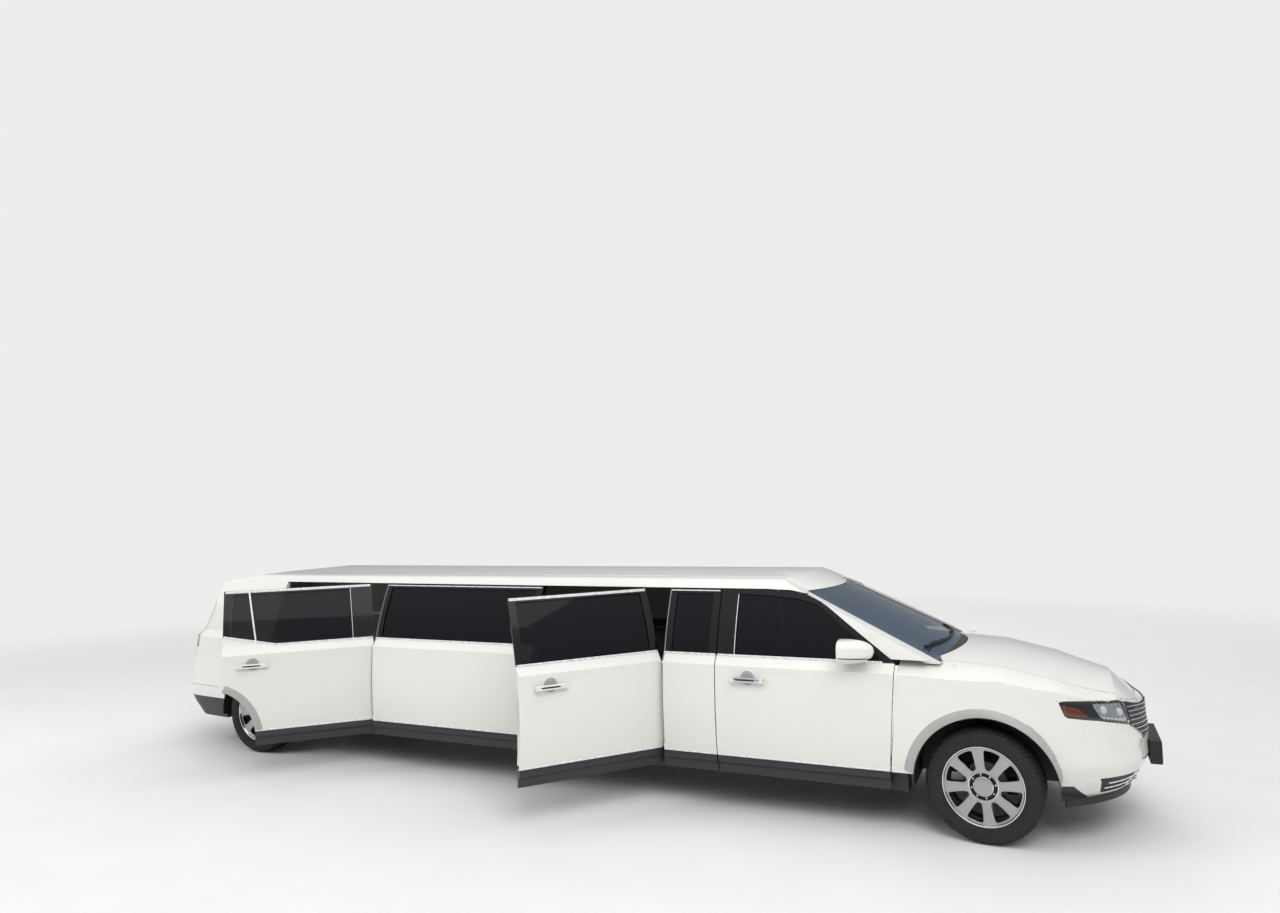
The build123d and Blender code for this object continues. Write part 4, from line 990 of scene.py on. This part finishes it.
def nose_terms(y, z):
    """The terms y^a z^b of the front's skin, for a in 0, 2, 4, 6 and b in 0, 1, 2."""
    z = z - 0.75
    return np.stack([y ** a * z ** b for a in (0, 2, 4, 6) for b in (0, 1, 2)], axis=-1)


def nose_skin():
    """The front's outer skin as x = sum of k y^a z^b, from casts on the CAD.

    Casts that end in a slot, more than 3 mm behind the fit, are left out of the next fit.
    """
    y, z = np.meshgrid(np.linspace(0, 0.515, 60), np.linspace(0.62, 0.9, 50))
    points = front_view(points_of(y.ravel(), z.ravel()), -1)
    hits, moved = shrunk(points, grille_nodes, 0, "x")
    hits = hits[(moved > still) & (hits[:, 0] > at(0.7))]
    kept = hits
    for _ in range(6):
        factors = np.linalg.lstsq(nose_terms(-kept[:, 1], kept[:, 2]), kept[:, 0], rcond=None)[0]
        kept = hits[hits[:, 0] > nose_terms(-hits[:, 1], hits[:, 2]) @ factors - 0.003]
    return factors


def grille_edges(y):
    """The heights of the grille's foot and top at places across it."""
    return (np.interp(np.abs(y), *np.transpose(line)) for line in (grille_foot, grille_top))


class LIMO_OT_grille(bpy.types.Operator):
    """Makes the grille's panel, ledge and bars, the intake's bars and fog lamps, and the chin"""
    bl_idname = "limo.grille"
    bl_label = "Grille and intake"

    def execute(self, context):
        factors = nose_skin()

        def on_nose(y, z, proud):
            """Points on the front's fitted skin, a distance ahead of it."""
            return points_of(nose_terms(np.abs(y), z) @ factors + proud, y, z)

        y = np.linspace(-grille_reach, grille_reach, 180)
        foot, top = grille_edges(y)
        share = np.linspace(0, 1, 24)
        z = foot[:, None] * (1 - share) + top[:, None] * share
        wide = np.broadcast_to(y[:, None], z.shape)
        skin = on_nose(wide, z, 0.0)
        # The panel is the outer of the fit and the CAD, where the two are within 12 mm
        casts = laid_on(skin + [0.4, 0, 0], grille_nodes, 0.0, "x")[..., 0]
        x = skin[..., 0]
        skin[..., 0] = np.where(np.abs(casts - x) < 0.012, np.maximum(x, casts), x) + 0.0015
        make_piece("grille_panel", "shell", "trim", [slab(skin, skin - [0.008, 0, 0])])
        # The ledge runs 60 mm back from under the top edge, and falls by a tenth of that
        back = np.linspace(0.004, 0.06, 6)
        ledge = on_nose(wide[:, :6], top[:, None] - 0.004 - 0.1 * back, 0.0)
        ledge[..., 0] -= back
        make_piece("grille_ledge", "shell", "paint", [slab(ledge, ledge - [0, 0, 0.003])])
        # A bar's height is its own less fall (0.5 - y), and it keeps to where the panel is
        bars = []
        out = np.linspace(0.018, grille_reach - 0.004, 90)
        foot, top = grille_edges(out)
        for _, side in sides:
            for height in bar_heights:
                line = height - bar_fall * (0.5 - out)
                inside = (line > foot + 0.008) & (line < top - 0.006)
                if inside.sum() >= 12:
                    path = on_nose(side * out[inside], line[inside], 0.0055)
                    bars.append(carried(path, oval(0.007, 0.006, 3, 12)))
            bars.append(carried(on_nose(side * out, foot + 0.003, 0.004), oval(0.006, 0.006, 2, 10)))
        rise = np.linspace(0.668, 0.832, 24)
        bars.append(carried(on_nose(rise * 0, rise, 0.007), oval(0.03, 0.012, 3, 20), upright))
        make_piece("grille_bars", "shell", "chrome", bars)
        self.intake_and_chin()
        return {"FINISHED"}

    def intake_and_chin(self):
        """Bars and fog lamps laid on the intake, the lip under it and the plate's blank."""
        grids = []
        for _, side in sides:
            def in_intake(out, heights, lift):
                """Points laid on the intake from half widths and heights."""
                return laid_on(front_view(points_of(out, heights), side), ("intake",), lift, "x")

            for height in intake_bars:
                line = in_intake(np.linspace(0.3, 0.64, 60), height, 0.003)
                grids.append(carried(line, oval(0.007, 0.008, 3, 10)))
            fin = in_intake(np.linspace(0.425, 0.4, 16), np.linspace(0.335, 0.425, 16), 0.004)
            grids.append(carried(fin, oval(0.014, 0.01, 3, 12), upright))
            fog = in_intake([0.34], 0.378, 0.0)[0]
            grids.append((rounded_block(fog, (0.016, 0.032, 0.028), 2, 2, 24, 13), "columns", 1))
        make_piece("intake_bars", "shell", "anodised lamp", grids)
        half = np.array([(at(station), y, chin_z) for station, y in chin_line])
        line = smooth(np.concatenate([half, half[-2::-1] * [1, -1, 1]]), 120)
        make_piece("chin_lip", "shell", "trim", [carried(line, oval(0.01, 0.048, 4, 24))])
        plate = rounded_block((at(1.0725), 0.0, 0.5165), (0.0025, 0.2575, 0.072), 8.0, 12.0, 40, 9)
        make_piece("blank_plate", "shell", "trim", [plate])


mirror_middle = (-0.785, 1.006, 1.216)
mirror_half = (0.12, 0.092, 0.084)
# The foot that joins a mirror to its door: stations, y and z
mirror_foot = (
    (-0.765, 0.9, 1.15), (-0.765, 0.935, 1.152), (-0.762, 0.96, 1.16), (-0.76, 0.985, 1.18),
)


class LIMO_OT_mirrors(bpy.types.Operator):
    """Makes the door mirrors: a shell, a split line, a glass and a foot"""
    bl_idname = "limo.mirrors"
    bl_label = "Mirrors"

    def execute(self, context):
        for side_name, side in sides:
            # The shell's section |v|^3.2 + |w|^3.2 = 1 swells as (1 - (1 - t)^2.4)^(1 / 2.2) along
            # its length t, and is a tenth lower at its outer side
            t = np.linspace(0, 1, 22)[:, None]
            swell = (1 - (1 - t) ** 2.4) ** (1 / 2.2)
            v, w = oval(2, 2, 3.2, 48).T
            x = at(mirror_middle[0] + mirror_half[0] * (1 - 2 * t))
            y = side * (mirror_middle[1] + v * mirror_half[1] * swell)
            z = mirror_middle[2] + 0.012 * (1 - t) + w * mirror_half[2] * swell * (1 - 0.1 * v)
            points = points_of(x, y, z)
            rim = points[-1:]
            middle = rim.mean(axis=1, keepdims=True)
            insets = ((0.05, -0.001), (0.07, 0.004), (0.08, 0.006), (0.6, 0.006), (1.0, 0.006))
            rear = [rim + (middle - rim) * inset + [depth, 0, 0] for inset, depth in insets]
            seam_y = side * (mirror_middle[1] + (mirror_half[1] * swell + 0.0005) * 0.995)
            seam = points_of(x, seam_y, mirror_middle[2] - 0.03)[2:-1, 0]
            foot = smooth(np.array(mirror_foot) * [1, side, 1] + [axle_x, 0, 0], 20)
            make_piece(f"door_mirror_{side_name}", f"front_door_{side_name}", "paint chrome trim", [
                np.concatenate([points, *rear[:3]]), (np.concatenate(rear[2:]), "columns", 1),
                (carried(seam, oval(0.003, 0.006, 3, 10)), "columns", 2),
                carried(foot, oval(0.07, 0.026, 3, 24)),
            ], (f"mirror_{side_name}",))
        return {"FINISHED"}


# Seats. A pad's ways are its half length, half width and half thickness as vectors, and its
# shape in u, v, w along them is |u|^6 + |v|^6 + |w|^6 = 1.
pad_power = 6
piping_w = 0.86
channel_width = 0.009
thirds = (-0.36, 0.36)
fifths = (-0.6, -0.2, 0.2, 0.6)
# Groups of seats: the node that they stand for, their marks, the step from one to the next, and
# each pad's name, centre as station, y and z, ways, crown and channels
seats = (
    ("front_seats", ("right", "left"), (0, 0.76, 0), (
        ("front_cushion", (-1.475, -0.38, 0.472),
         ((0.232, 0, 0.012), (0, 0.252, 0), (-0.003, 0, 0.06)), 0.022, thirds),
        ("front_backrest", (-1.88, -0.38, 0.885),
         ((-0.078, 0, 0.335), (0, 0.25, 0), (0.046, 0, 0.011)), 0.014, (-0.2, 0.2, 0.62)),
    )),
    ("rear_seats", range(4), (-0.725, 0, 0), (
        ("bench_cushion", (-2.5125, 0.455, 0.652),
         ((0.3605, 0, 0), (0, 0.152, 0), (0, 0, 0.062)), 0.022, fifths),
        ("bench_backrest", (-2.5125, 0.66, 0.915),
         ((0.3605, 0, 0), (0, 0.01, 0.18), (0, -0.08, 0.004)), 0.016, fifths),
    )),
    ("rear_seats", range(3), (0, 0.362, 0), (
        ("rear_cushion", (-6.155, -0.362, 0.62),
         ((0, 0.177, 0), (0.208, 0, 0.004), (-0.001, 0, 0.056)), 0.02, thirds),
        ("rear_backrest", (-6.452, -0.362, 0.91),
         ((0, 0.177, 0), (-0.04, 0, 0.205), (0.044, 0, 0.008)), 0.014, thirds),
    )),
)
# The plinths that the pads stand on: centre as station, y and z, and half sizes
plinths = (
    ((-1.55, -0.38, 0.372), (0.24, 0.21, 0.044)),
    ((-1.55, 0.38, 0.372), (0.24, 0.21, 0.044)),
    ((-3.6, 0.6, 0.458), (1.448, 0.262, 0.13)),
    ((-3.6, 0.8, 0.76), (1.448, 0.062, 0.33)),
    ((-6.2, 0.0, 0.446), (0.236, 0.536, 0.118)),
)


def pad_points(u, v, w, centre, ways, crown, channels):
    """Places on a stuffed pad.

    Its top rises by crown (1 - u^2)(1 - v^2), less 9 mm exp(-(d / 9 mm)^2) at a distance d from
    each sewn channel across it. Its sides pull in by 3 % of (1 - u^4) and of (1 - v^4).
    """
    length, width, thick = np.array(ways, float)
    rise = crown * (1 - u ** 2) * (1 - v ** 2)
    for place in channels:
        away = (u - place) * np.linalg.norm(length) / channel_width
        rise = rise - channel_width * np.exp(-away ** 2)
    pulled_u = u * (1 - 0.03 * (1 - v ** 4))
    pulled_v = v * (1 - 0.03 * (1 - u ** 4))
    return (
        centre + pulled_u[..., None] * length + pulled_v[..., None] * width
        + w[..., None] * thick + (np.clip(w, 0, 1) * rise)[..., None] * unit(thick)
    )


def even_loop(power, count):
    """A loop |v|^p + |w|^p = 1 with its points equally far apart."""
    dense = oval(2, 2, power, 4000)
    return along_line(np.concatenate([dense, dense[:1]]), np.linspace(0, 1, count, endpoint=False))


def pad_grids(centre, ways, crown, channels):
    """A pad and the piping round its top."""
    u = np.sin(np.linspace(-1, 1, 89) * np.pi / 2)[:, None]
    girth = np.maximum(1 - np.abs(u) ** pad_power, 0) ** (1 / pad_power)
    v, w = (girth * way for way in even_loop(pad_power, 56).T)
    body = pad_points(np.broadcast_to(u, v.shape), v, w, centre, ways, crown, channels)
    rim = even_loop(pad_power, 120) * (1 - piping_w ** pad_power) ** (1 / pad_power)
    edge = pad_points(*rim.T, np.full(120, piping_w), centre, ways, crown, ())
    return [body, (ring_of(edge, 0.0035, 8), "rows columns", 0)]


class LIMO_OT_seats(bpy.types.Operator):
    """Makes the seats' stuffed pads and their plinths"""
    bl_idname = "limo.seats"
    bl_label = "Seats"

    def execute(self, context):
        look = context.scene.limousine_look
        for node, marks, step, pads in seats:
            for number, mark in enumerate(marks):
                for name, first, ways, crown, channels in pads:
                    centre = np.array(first) + [axle_x, 0, 0] + np.array(step) * number
                    dome = crown * look.seat_crown / usual_crown
                    grids = pad_grids(centre, ways, dome, channels)
                    pad = make_piece(f"{name}_{mark}", "shell", "leather", grids, (node,), 60)
        make_piece("seat_plinths", "shell", "vinyl", [
            rounded_block(np.array(centre) + [axle_x, 0, 0], half, 12, 12, 48, 31)
            for centre, half in plinths])
        return {"FINISHED"}


# The wings' rear edges in side view, which stop 5 mm short of the front doors
wing_edge = (((-0.587, 0.52), (-0.522, 1.128)), ((-0.5885, 0.52), (-0.5437, 1.128)))
# The doorways' rear edges: name, side, station
doorways = (("middle_right", -1, -2.266), ("rear_right", -1, -5.103), ("rear_left", 1, -5.103))


class LIMO_OT_seals(bpy.types.Operator):
    """Makes the doorways' grey edges and the wings' rear edges"""
    bl_idname = "limo.seals"
    bl_label = "Doorway edges"

    def execute(self, context):
        for side_name, side in sides:
            stations, heights = np.moveaxis(between(*wing_edge, 24, 4), -1, 0)
            outer = on_wall(stations, heights, side, 0.0)
            make_piece(f"wing_edge_{side_name}", "shell", "paint",
                       [slab(outer, outer - [0, side * 0.003, 0])])
        heights = np.concatenate([np.linspace(0.47, 1.13, 30), np.linspace(1.145, 1.6, 24)])
        for name, side, station in doorways:
            line = on_wall(np.full(len(heights), station), heights, side, -0.004)
            make_piece(f"doorway_edge_{name}", "shell", "vinyl",
                       [carried(line, oval(0.012, 0.01, 3, 12), upright)])
        return {"FINISHED"}


# Wipers: each blade's ends and its pivot, as y
wipers = ((-0.6, 0.02, -0.52), (-0.05, 0.6, 0.1))
screen_bow = 0.34


class LIMO_OT_wipers(bpy.types.Operator):
    """Makes the wipers at the foot of the screen"""
    bl_idname = "limo.wipers"
    bl_label = "Wipers"

    def execute(self, context):
        def over_screen(y, station):
            """Points over the screen's foot, which bows back by bow y^2."""
            return points_of(at(station - screen_bow * y ** 2), y, 1.32)

        grids = []
        for start, end, pivot in wipers:
            line = over_screen(np.linspace(start, end, 30), -0.265)
            blade = laid_on(line, ("windscreen",), 0.012, "z")
            grids.append(carried(blade, oval(0.012, 0.022, 3, 12)))
            spot = over_screen(np.array([pivot]), -0.258)
            hub_top = laid_on(spot, ("cowl", "windscreen"), 0.005, "z")[0]
            middle = blade[len(blade) // 2]
            arm = np.stack([hub_top, hub_top + [0, 0, 0.012], (hub_top + middle) / 2 + [0, 0, 0.016],
                            middle + [0, 0, 0.012]])
            grids.append(carried(smooth(arm, 24), oval(0.016, 0.008, 3, 12), (0, 0.02, 1)))
        make_piece("wipers", "shell", "trim", grids)
        return {"FINISHED"}


# Camera, floor and light
photo_width = 1280
focal_pixels = 881.3
sensor_mm = 36.0
camera_place = (3.8395, -7.169, 2.249)
camera_yaw, camera_pitch, camera_roll = np.radians((24.92, 3.34, -1.52))
floor_half = 90.0
# Lamps: name, place, target, size, share of the key light's power, seen in gloss
lamps = (
    ("key", (7, -9, 10), (0, 0, 0.8), 7.0, 1.0, False),
    ("crown", (3, -3, 9), (1, 0, 0.8), 9.0, 0.25, True),
    ("rear_fill", (-9, -7, 7), (-2, 0, 0.8), 6.0, 0.6, False),
    ("far_fill", (0, 10, 8), (0, 0, 0.8), 8.0, 0.5, False),
)


def camera_matrix():
    """The camera's place and turn: yaw from +Y towards the rear, then pitch, then roll."""
    yaw = Matrix.Rotation(camera_yaw, 4, "Z")
    pitch = Matrix.Rotation(np.pi / 2 + camera_pitch, 4, "X")
    return Matrix.Translation(camera_place) @ yaw @ pitch @ Matrix.Rotation(camera_roll, 4, "Z")


def floor_finish(colour):
    """Pale sealed concrete near the car that fades into the plain ground further off.

    The fade is 0 within 7 m of the middle and 1 past 16 m, and only the camera sees it.
    """
    material = made_of("pale sealed concrete", "#dcdcda #e2e2e0", 0.5, (0.55, 0.65), 0.3)
    tree = material.node_tree
    place = node_of(tree, "TEX_COORD").outputs["Object"]
    away = add_node(tree, "ShaderNodeVectorMath", (place,), operation="LENGTH").outputs["Value"]
    fade = add_node(tree, ranged, (away, 7.0, 16.0), interpolation_type="SMOOTHSTEP")
    seen = add_node(tree, "ShaderNodeLightPath").outputs["Is Camera Ray"]
    share = add_node(tree, maths, (fade, seen), operation="MULTIPLY")
    plain = add_node(tree, "ShaderNodeEmission", (colour, 1.0))
    mix = add_node(tree, "ShaderNodeMixShader", (share, node_of(tree, "BSDF_PRINCIPLED"), plain))
    tree.links.new(mix.outputs[0], node_of(tree, "OUTPUT_MATERIAL").inputs["Surface"])
    return material


def studio_world(colour):
    """A sky that is brighter overhead, and behind the car the floor's plain colour."""
    world = bpy.data.worlds.new("studio")
    world.use_nodes = True
    tree = world.node_tree
    tree.nodes.clear()
    path = add_node(tree, "ShaderNodeLightPath").outputs
    rays = (path["Is Camera Ray"], path["Is Transmission Ray"])
    seen = add_node(tree, maths, rays, operation="MAXIMUM")
    way = add_node(tree, "ShaderNodeTexCoord").outputs["Generated"]
    rise = add_node(tree, "ShaderNodeSeparateXYZ", (way,)).outputs["Z"]
    strength = add_node(tree, ranged, (rise, 0.0, 0.9, 0.48, 0.98), interpolation_type="SMOOTHSTEP")
    sky = add_node(tree, "ShaderNodeBackground", (linear("#e4e6e8"), strength))
    plain = add_node(tree, "ShaderNodeBackground", (colour, 1.0))
    mix = add_node(tree, "ShaderNodeMixShader", (seen, sky, plain))
    add_node(tree, "ShaderNodeOutputWorld", (mix,))
    return world


class LIMO_OT_stage(bpy.types.Operator):
    """Makes the camera, the floor and the lights"""
    bl_idname = "limo.stage"
    bl_label = "Stage"

    def execute(self, context):
        scene = context.scene
        look = scene.limousine_look
        scene.view_settings.view_transform = "Standard"
        data = bpy.data.cameras.new("camera")
        data.sensor_width = sensor_mm
        data.lens = sensor_mm * focal_pixels / photo_width
        data.clip_end = 200
        scene.camera = place_object("camera", data)
        scene.camera.matrix_world = camera_matrix()

        mesh = bpy.data.meshes.new("floor_sheet")
        corners = [(x * floor_half, y * floor_half, 0) for x, y in ((-1, -1), (1, -1), (1, 1), (-1, 1))]
        mesh.from_pydata(corners, [], [(0, 1, 2, 3)])
        mesh.materials.append(floor_finish(look.floor_colour))
        place_object("floor_sheet", mesh)

        scene.world = studio_world(look.floor_colour)
        for name, place, target, size, share, mirrored in lamps:
            data = bpy.data.lights.new(name, "AREA")
            data.size = size
            data.energy = look.light * share
            lamp = place_object(name, data)
            lamp.visible_glossy = mirrored
            lamp.location = place
            aim = Vector(target) - Vector(place)
            lamp.rotation_euler = aim.to_track_quat("-Z", "Y").to_euler()
        return {"FINISHED"}


class LIMO_PT_panel(bpy.types.Panel):
    """Lists the steps in the order in which they run"""
    bl_idname = "LIMO_PT_panel"
    bl_label = "Limousine"
    bl_space_type = "VIEW_3D"
    bl_region_type = "UI"
    bl_category = "Limousine"

    def draw(self, context):
        for name in LimousineLook.__annotations__:
            self.layout.prop(context.scene.limousine_look, name)
        for step in steps:
            self.layout.operator(step.bl_idname)


steps = (
    LIMO_OT_stage, LIMO_OT_finishes, LIMO_OT_wheels, LIMO_OT_tyres, LIMO_OT_side_trim,
    LIMO_OT_handles, LIMO_OT_flares, LIMO_OT_headlamps, LIMO_OT_grille, LIMO_OT_mirrors,
    LIMO_OT_wipers, LIMO_OT_seats, LIMO_OT_seals,
)
classes = (LimousineLook, *steps, LIMO_PT_panel)


def register():
    for cls in classes:
        bpy.utils.register_class(cls)
    bpy.types.Scene.limousine_look = PointerProperty(type=LimousineLook)


def unregister():
    del bpy.types.Scene.limousine_look
    for cls in reversed(classes):
        bpy.utils.unregister_class(cls)


def main():
    register()
    for step in steps:
        getattr(bpy.ops.limo, step.bl_idname.removeprefix("limo."))()


if __name__ == "__main__":
    main()
